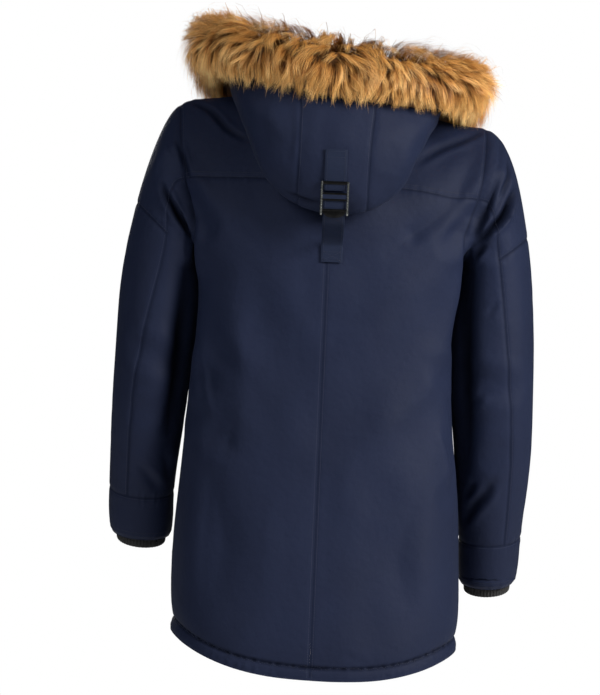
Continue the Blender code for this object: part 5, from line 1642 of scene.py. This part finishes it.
def buckle_piece(bars, rails, band):
    """Two rounded rails, a top and a foot bar, the strap's turn on the middle bar, and a pointed lip."""
    top, foot = np.array([0, *BUCKLE_TOP]), np.array([0, *BUCKLE_FOOT])
    up = (top - foot) / np.linalg.norm(top - foot)
    out = np.cross([1.0, 0, 0], up) * -1
    x_way = np.array([1.0, 0, 0])
    shift = np.array([STRAP_X, 0, 0])
    low, high = BUCKLE_LEVELS[0], BUCKLE_LEVELS[-1]
    rail = (BUCKLE_COLUMNS[3] - BUCKLE_COLUMNS[2]) / 2
    parts, tones = [], []
    for side in (-1, 1):
        steps = np.concatenate([[0, 0.012, 0.04], np.linspace(0.08, 0.92, 8), [0.96, 0.988, 1]])
        scale = np.sqrt(np.clip(1 - np.maximum(np.abs(steps - 0.5) - 0.47, 0) ** 2 / 0.03**2, 0.02, 1))
        x = side * (BUCKLE_COLUMNS[3] - rail)
        centres = foot + shift + x_way * x + up * (low + steps * (high - low))[:, None]
        count = len(centres)
        ways = np.tile(x_way, (count, 1)), np.tile(out, (count, 1))
        points, quads, tris = tube(centres, *ways, np.zeros((12, 2)))
        ring = rounded_box(2 * rail, BUCKLE_THICK * 1.15, 2.6, 12)
        body = centres[:, None] + (x_way * ring[:, :1] + out * ring[:, 1:])[None] * scale[:, None, None]
        points[: count * 12] = body.reshape(-1, 3)
        parts.append((points, quads, tris))
        # the rails take the second finish, the bars' dark metal made paler for a painted highlight
        tones.append(1)
    width = BUCKLE_COLUMNS[2] + 0.0006
    edge = BUCKLE_LEVELS[2] - BUCKLE_LEVELS[1]
    spans = []
    for k in BUCKLE_BARS:
        a, b = BUCKLE_LEVELS[k], BUCKLE_LEVELS[k + 1]
        if b - a > 2.5 * edge:  # a bar with the strap's turn on it, between its two edges
            spans += [(a, a + edge, 0.8, 0), (b - edge, b, 0.8, 0), (a, b, 0.5, 2)]
        else:
            spans.append((a, b, 0.8, 0))
    for a, b, thick, tone in spans:
        centres = foot + shift + up * (a + b) / 2 + x_way * np.linspace(-width, width, 5)[:, None]
        ups, outs = np.tile(up, (5, 1)), np.tile(out, (5, 1))
        parts.append(tube(centres, ups, outs, rounded_box(b - a, BUCKLE_THICK * thick, 4.0, 16)))
        tones.append(tone)
    half = [(width, BUCKLE_LEVELS[1])] + list(BUCKLE_LIP)
    lip = np.array([(-x, z) for x, z in half] + [(0, 0)] + half[::-1])
    middle = lip.mean(0)
    rings = []
    for scale, depth in ((0.93, -0.42), (1.0, -0.3), (1.0, 0.3), (0.93, 0.42)):
        flat = middle + (lip - middle) * scale
        rings.append(foot + shift + x_way * flat[:, :1] + up * flat[:, 1:] + out * depth * BUCKLE_THICK)
    points = np.concatenate(rings + [[rings[0].mean(0)], [rings[3].mean(0)]])
    around = [(k, (k + 1) % 7) for k in range(7)]
    quads = [(7 * r + k, 7 * r + m, 7 * (r + 1) + m, 7 * (r + 1) + k) for r in range(3) for k, m in around]
    tris = [(m, k, 28) for k, m in around] + [(21 + k, 21 + m, 29) for k, m in around]
    parts.append((points, np.array(quads), np.array(tris)))
    tones.append(0)
    marks = np.concatenate([np.repeat(tones, [len(part[k]) for part in parts]) for k in (1, 2)])
    points, quads, tris = joined(parts)
    obj = made("buckle_metal", points, [quads, tris], [bars, rails, band], "gunmetal", marks, sharp=40)
    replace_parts(obj, "buckle")


def placket_piece(shell, cloth):
    """The flap down the front, padded a little in its middle, and the runs of its two stitch lines."""
    top = spot_on(shell.tree, 0.0, -0.084, -1)[0].z
    half = PLACKET_COLUMNS[0]
    inner = half - PLACKET_EDGE
    columns = np.concatenate([[half], np.linspace(inner, -inner, 23), [-half]])
    grid, normals = [], []
    for z in lerp(top, PLACKET_FOOT, np.linspace(0, 1, PLACKET_LEVELS)):
        spots = [spot_on(shell.tree, x, z, -1) for x in columns]
        lift = PLACKET_LAY + PLACKET_WALL + PLACKET_PAD * np.cos(columns / half * math.pi)
        grid.append([np.array(p) + np.array(n) * d for (p, n), d in zip(spots, lift)])
        normals.append([np.array(n) for _, n in spots])
    grid, normals = np.array(grid), np.array(normals)
    points, ways = grid.reshape(-1, 3), normals.reshape(-1, 3)
    faces, _ = grid_quads(*grid.shape[:2])
    body, quads, rim = walled(points, ways, faces, faces, PLACKET_WALL, 0.0)[:3]
    uv = np.stack([body[:, 0], body[:, 2]], -1)
    wear = {"wear": np.zeros(len(body))}
    obj = made("front_placket_cloth", body, [quads, rim], [cloth], "navy_shell", uv=uv, floats=wear)
    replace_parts(obj, "front_placket")
    tree = surface_tree(points, faces)
    runs = []
    for x in (half - PLACKET_INSET, -half + PLACKET_INSET):
        heights = np.linspace(top - 0.006, PLACKET_FOOT + 0.006, 120)
        line = [(x, *(spot_on(tree, x, z, -1)[0].yz)) for z in heights]
        runs.append(stitch_run(np.array(line), tree))
    return obj, runs


def rib_piece(side_name, side, wrist, knit):
    """Knitted rib: raised wales round the wrist, the upper part spread to the cuff's inside."""
    count = 5 * RIBS
    angles = 2 * math.pi * np.arange(count) / count
    wales = WALE * np.cos(RIBS * angles)
    knots = (
        (CUFF_LENGTH - RIB_INSIDE, 0.90, 0.3),
        (CUFF_LENGTH - RIB_INSIDE + 0.006, RIB_SHARE + 0.07, 0.8),
        (CUFF_LENGTH - RIB_INSIDE + 0.011, RIB_SHARE + 0.02, 1.0),
        (CUFF_LENGTH - 0.004, RIB_SHARE, 1.0),
        (CUFF_LENGTH + 0.005, RIB_SHARE + 0.012, 1.0),
        (CUFF_LENGTH + RIB_SHOWN - 0.002, RIB_SHARE, 1.0),
        (CUFF_LENGTH + RIB_SHOWN, RIB_SHARE - 0.015, 0.5),
    )
    rows = []
    for inner in (False, True):
        rings = []
        for along, share, wave in knots[::-1] if inner else knots:
            ring = np.array([sleeve_point(wrist, side, a, share, along) for a in angles])
            axis = ring.mean(0)
            way = unit(ring - axis)
            lift = -RIB_WALL if inner else wales * wave - WALE
            rings.append(ring + way * (np.zeros(count) + lift)[:, None])
        rows += rings
    points = np.concatenate(rows)
    quads = []
    for r in range(len(rows)):
        s = (r + 1) % len(rows)
        k = np.arange(count)
        m = (k + 1) % count
        quad = np.stack([r * count + k, s * count + k, s * count + m, r * count + m], -1)
        quads.append(quad if side > 0 else quad[:, ::-1])
    name = f"rib_cuff_{side_name}"
    obj = made(f"{name}_knit", points, [np.concatenate(quads)], [knit], "black_rib", sharp=60)
    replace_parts(obj, name)
    return obj


# ---------------------------------------------------------------- materials


class Finish:
    """A node material in the making."""

    def __init__(self, name, roughness, metallic=0.0):
        self.made = bpy.data.materials.new(name)
        self.made.use_nodes = True
        self.tree = self.made.node_tree
        self.shader = self.tree.nodes["Principled BSDF"]
        self.shader.inputs["Roughness"].default_value = roughness
        self.shader.inputs["Metallic"].default_value = metallic

    def node(self, kind, **values):
        node = self.tree.nodes.new(f"ShaderNode{kind}")
        for key, value in values.items():
            setattr(node, key, value)
        return node

    def link(self, out, into):
        self.tree.links.new(out, into)

    def places(self, uv):
        if uv:
            return self.node("UVMap", uv_map="cloth").outputs[0]
        return self.node("TexCoord").outputs["Object"]

    def noise(self, scale, detail=2.0, uv=False):
        node = self.node("TexNoise")
        node.inputs["Scale"].default_value = scale
        node.inputs["Detail"].default_value = detail
        self.link(self.places(uv), node.inputs["Vector"])
        return node.outputs["Fac"]

    def ramp(self, value, stops):
        node = self.node("ValToRGB")
        marks = node.color_ramp.elements
        while len(marks) < len(stops):
            marks.new(0.5)
        for mark, (place, colour) in zip(marks, stops):
            mark.position = place
            mark.color = (*colour, 1.0)
        self.link(value, node.inputs["Fac"])
        return node.outputs["Color"]

    def speckle(self, scale, detail, dark, pale, marks=(0.3, 0.7)):
        """Noise between a dark and a pale colour, with the places of the two on its ramp."""
        return self.ramp(self.noise(scale, detail), tuple(zip(marks, (dark, pale))))

    def attribute(self, name):
        return self.node("Attribute", attribute_name=name).outputs["Fac"]

    def give(self, socket, value):
        self.link(value, self.shader.inputs[socket])

    def mix(self, fac, a, b, blend="MIX"):
        node = self.node("Mix", data_type="RGBA", blend_type=blend)
        for socket, value in ((node.inputs[0], fac), (node.inputs[6], a), (node.inputs[7], b)):
            if isinstance(value, bpy.types.NodeSocket):
                self.link(value, socket)
            elif isinstance(value, tuple):
                socket.default_value = (*value, 1.0)
            else:
                socket.default_value = value
        return node.outputs[2]

    def bump(self, height, distance, strength=1.0, below=None):
        node = self.node("Bump")
        node.inputs["Distance"].default_value = distance
        node.inputs["Strength"].default_value = strength
        self.link(height, node.inputs["Height"])
        if below is not None:
            self.link(below, node.inputs["Normal"])
        return node.outputs["Normal"]

    def lines(self, pitch, direction, uv=True):
        node = self.node("TexWave", wave_type="BANDS", bands_direction=direction)
        node.inputs["Scale"].default_value = 2 * math.pi / 20 / pitch
        self.link(self.places(uv), node.inputs["Vector"])
        return node.outputs["Fac"]

    def sheen(self, weight, tint, roughness=0.4):
        self.shader.inputs["Sheen Weight"].default_value = weight
        self.shader.inputs["Sheen Roughness"].default_value = roughness
        self.shader.inputs["Sheen Tint"].default_value = (*tint, 1.0)


def scaled(colour, share):
    return tuple(c * share for c in colour)


def cloth_finish(name, colour, roughness, sheen, crumple):
    """Close twill: mottled, a little paler along the seams, with a fine diagonal and soft crumples; painted
    shade makes it near black and without gloss in deep folds and seams.
    """
    cloth = Finish(name, roughness)
    wide = cloth.speckle(7, 3, scaled(colour, 0.90), scaled(colour, 1.10))
    fine = cloth.speckle(900, 2, (0.86,) * 3, (1.14,) * 3, (0.25, 0.75))
    tone = cloth.mix(1.0, wide, fine, "MULTIPLY")
    tone = cloth.mix(cloth.attribute("wear"), tone, scaled(colour, 1.06))
    # painted shade: near-black colour in deep folds and seams
    deep = cloth.attribute("deep")
    tone = cloth.mix(deep, tone, scaled(colour, 0.05))
    cloth.give("Base Color", tone)
    below = cloth.bump(cloth.noise(110, 3), 0.0016, crumple)
    below = cloth.bump(cloth.noise(38, 2), 0.0030, crumple * 0.7, below)
    cloth.give("Normal", cloth.bump(cloth.lines(0.0009, "DIAGONAL"), 0.00012, 0.6, below))
    cloth.sheen(sheen, (0.75, 0.82, 1.0))
    # the gloss also fades away in the painted shade
    shine = cloth.node("Math", operation="MULTIPLY_ADD")
    cloth.link(deep, shine.inputs[0])
    shine.inputs[1].default_value = -SHINE
    shine.inputs[2].default_value = SHINE
    cloth.give("Specular IOR Level", shine.outputs[0])
    return cloth.made


def thread_finish(name, colour):
    thread = Finish(name, 0.5)
    thread.give("Base Color", thread.speckle(1500, 1, scaled(colour, 0.8), scaled(colour, 1.25)))
    return thread.made


def knit_finish():
    knit = Finish("rib_knit", 0.85)
    knit.give("Base Color", knit.speckle(700, 3, (0.0030,) * 3, (0.0085,) * 3))
    rows = knit.lines(0.0016, "Z", uv=False)
    knit.give("Normal", knit.bump(rows, 0.0004, 0.5, knit.bump(knit.noise(900, 2), 0.0003, 0.5)))
    knit.sheen(0.10, (0.6, 0.6, 0.6), 0.6)
    return knit.made


def metal_finish(name, colour, roughness):
    metal = Finish(name, roughness, 0.9)
    metal.give("Base Color", metal.speckle(180, 3, scaled(colour, 0.75), scaled(colour, 1.3)))
    rough = metal.speckle(400, 4, (roughness * 0.8,) * 3, (roughness * 1.3,) * 3, (0.3, 0.8))
    metal.give("Roughness", rough)
    metal.give("Normal", metal.bump(metal.noise(700, 2), 0.0001, 0.3))
    return metal.made


def hair_finish():
    """Golden hair, red brown at the foot and paler at the tip, in several shades, with dark guard hairs. The
    dark foot is partly the hair's own colour and partly painted shade deep in the fur.
    """
    hair = Finish("golden_hair", 0.5)
    along = hair.attribute("along")
    tint = hair.attribute("tint")
    guard = hair.attribute("guard")
    # the dark foot of the shades is partly painted shade deep in the fur
    shade = hair.ramp(along, HAIR_SHADES)
    tone = hair.ramp(tint, HAIR_TINTS)
    coat = hair.mix(1.0, shade, tone, "MULTIPLY")
    tips = hair.ramp(along, GUARD_TIPS)
    dark = hair.mix(1.0, tips, guard, "MULTIPLY")
    hair.give("Base Color", hair.mix(dark, coat, GUARD_COLOUR))
    hair.shader.inputs["Specular IOR Level"].default_value = HAIR_SHINE
    return hair.made


def hide_finish():
    hide = Finish("fur_ground", 0.9)
    hide.give("Base Color", hide.speckle(250, 3, (0.11, 0.052, 0.018), (0.20, 0.095, 0.034)))
    hide.give("Normal", hide.bump(hide.noise(500, 3), 0.001, 0.6))
    return hide.made


# ---------------------------------------------------------------- stage


def floor_and_light():
    """A pale floor, a white world that lights softly, three lamps, and the camera of the photo."""
    paint = Finish("floor_paint", 0.9)
    paint.give("Base Color", paint.speckle(1.5, 2, (0.82,) * 3, (0.86,) * 3))
    place = (0, 0, FLOOR_Z)
    bpy.ops.mesh.primitive_circle_add(vertices=96, radius=FLOOR_RADIUS, fill_type="NGON", location=place)
    floor = bpy.context.object
    floor.name = "floor"
    floor.data.materials.append(paint.made)

    world = bpy.data.worlds.new("studio")
    bpy.context.scene.world = world
    world.use_nodes = True
    tree = world.node_tree
    shown, around = tree.nodes["Background"], tree.nodes.new("ShaderNodeBackground")
    shown.inputs["Color"].default_value = (1, 1, 1, 1)
    around.inputs["Color"].default_value = SKY
    around.inputs["Strength"].default_value = SKY_POWER
    path, blend = tree.nodes.new("ShaderNodeLightPath"), tree.nodes.new("ShaderNodeMixShader")
    tree.links.new(path.outputs["Is Camera Ray"], blend.inputs[0])
    tree.links.new(around.outputs[0], blend.inputs[1])
    tree.links.new(shown.outputs[0], blend.inputs[2])
    tree.links.new(blend.outputs[0], tree.nodes["World Output"].inputs[0])

    for row in LIGHTS:
        light = bpy.data.lights.new(row["name"], "AREA")
        light.size, light.energy, light.color = row["size"], row["power"], row["colour"]
        lamp = bpy.data.objects.new(row["name"], light)
        lamp.location = row["place"]
        way = Vector(LIT) - Vector(row["place"])
        lamp.rotation_euler = way.to_track_quat("-Z", "Y").to_euler()
        bpy.context.scene.collection.objects.link(lamp)

    camera = bpy.data.cameras.new("camera")
    camera.sensor_fit = "HORIZONTAL"
    camera.sensor_width = SENSOR
    camera.lens = SENSOR * CAMERA_FAR / CAMERA_SEES
    camera.clip_end = 50
    eye = bpy.data.objects.new("camera", camera)
    eye.location = CAMERA_PLACE
    eye.rotation_euler = [math.radians(angle) for angle in CAMERA_TURN]
    bpy.context.scene.collection.objects.link(eye)
    bpy.context.scene.camera = eye
    bpy.context.scene.view_settings.view_transform = "Standard"


# ---------------------------------------------------------------- the coat


def strap_pieces(hood, shell, cloth, thread):
    """The strap sewn to the hood, the one sewn to the back, and their stitches."""
    upper = [(strap_seat(hood.tree, z), z) for z in np.linspace(TAB_TOP, TAB_FOOT, 40)]
    tab, upper_runs, upper_frame = strap("hood_tab_cloth", "hood_tab", upper, cloth)
    line = list(LOWER_STRAP) + [(strap_seat(shell.tree, z), z) for z in LOWER_STRAP_LAID]
    path = [(p.y, p.z) for p in smooth_path([(0, y, z) for y, z in line], (8,) * (len(line) - 1))]
    path = [(max(y, strap_seat(shell.tree, z) + SEAM_GAP), z) for y, z in path]
    low, lower_runs, lower_frame = strap("back_tab_cloth", "back_tab", path, cloth)
    runs = upper_runs + lower_runs
    runs += cross_run(upper_frame, TAB_ROWS)[:2]
    runs += cross_run(lower_frame, LOWER_ROWS)
    stitched("strap_stitches", runs, thread, "navy_webbing")
    return {"hood_tab": tab, "back_tab": low}


def dress():
    cloth = cloth_finish("navy_twill", (0.0092, 0.0140, 0.0365), roughness=0.66, sheen=0.02, crumple=0.35)
    lining = cloth_finish("navy_lining", (0.006, 0.007, 0.014), roughness=0.5, sheen=0.02, crumple=0.5)
    webbing = cloth_finish("strap_twill", (0.0098, 0.0155, 0.037), roughness=0.62, sheen=0.03, crumple=0.3)
    thread = thread_finish("navy_thread", (0.007, 0.011, 0.031))

    cage = Cage()
    armholes = add_body(cage)
    add_sleeve(cage, armholes[1], LEFT_RINGS, 1, "left")
    add_sleeve(cage, armholes[-1], RIGHT_RINGS, -1, "right")
    shell = Shell(cage)
    pieces = shell_pieces(shell, [cloth, lining])
    free = open_edges(shell.faces[FINE])
    rim = [[Vector(shell.points[v]) for v in edge] for edge in free if shell.points[edge[0], 2] > NECK_ABOVE]
    hood = Hood(rim, shell.tree)
    pieces |= hood_pieces(hood, [cloth, lining])

    topstitching(shell, FINE, thread, "shell_stitches")
    topstitching(hood, 1, thread, "hood_stitches")
    fur_pieces(*roll_line(hood.rows, FUR_STEPS), hair_finish(), hide_finish())
    pieces |= strap_pieces(hood, shell, webbing, thread)

    bars = metal_finish("black_plating", (0.010, 0.010, 0.010), 0.4)
    # the rails: the bars' dark metal made paler and glossier, a painted highlight along them
    rails = metal_finish("rail_highlight_metal", (0.20, 0.21, 0.20), 0.25)
    buckle_piece(bars, rails, webbing)
    pieces["front_placket"], runs = placket_piece(shell, cloth)
    stitched("placket_stitches", runs, thread, "navy_shell")
    knit = knit_finish()
    for side_name, side, rings in (("left", 1, LEFT_RINGS), ("right", -1, RIGHT_RINGS)):
        pieces[f"rib_cuff_{side_name}"] = rib_piece(side_name, side, rings[-1], knit)
    return pieces


pieces = dress()
floor_and_light()
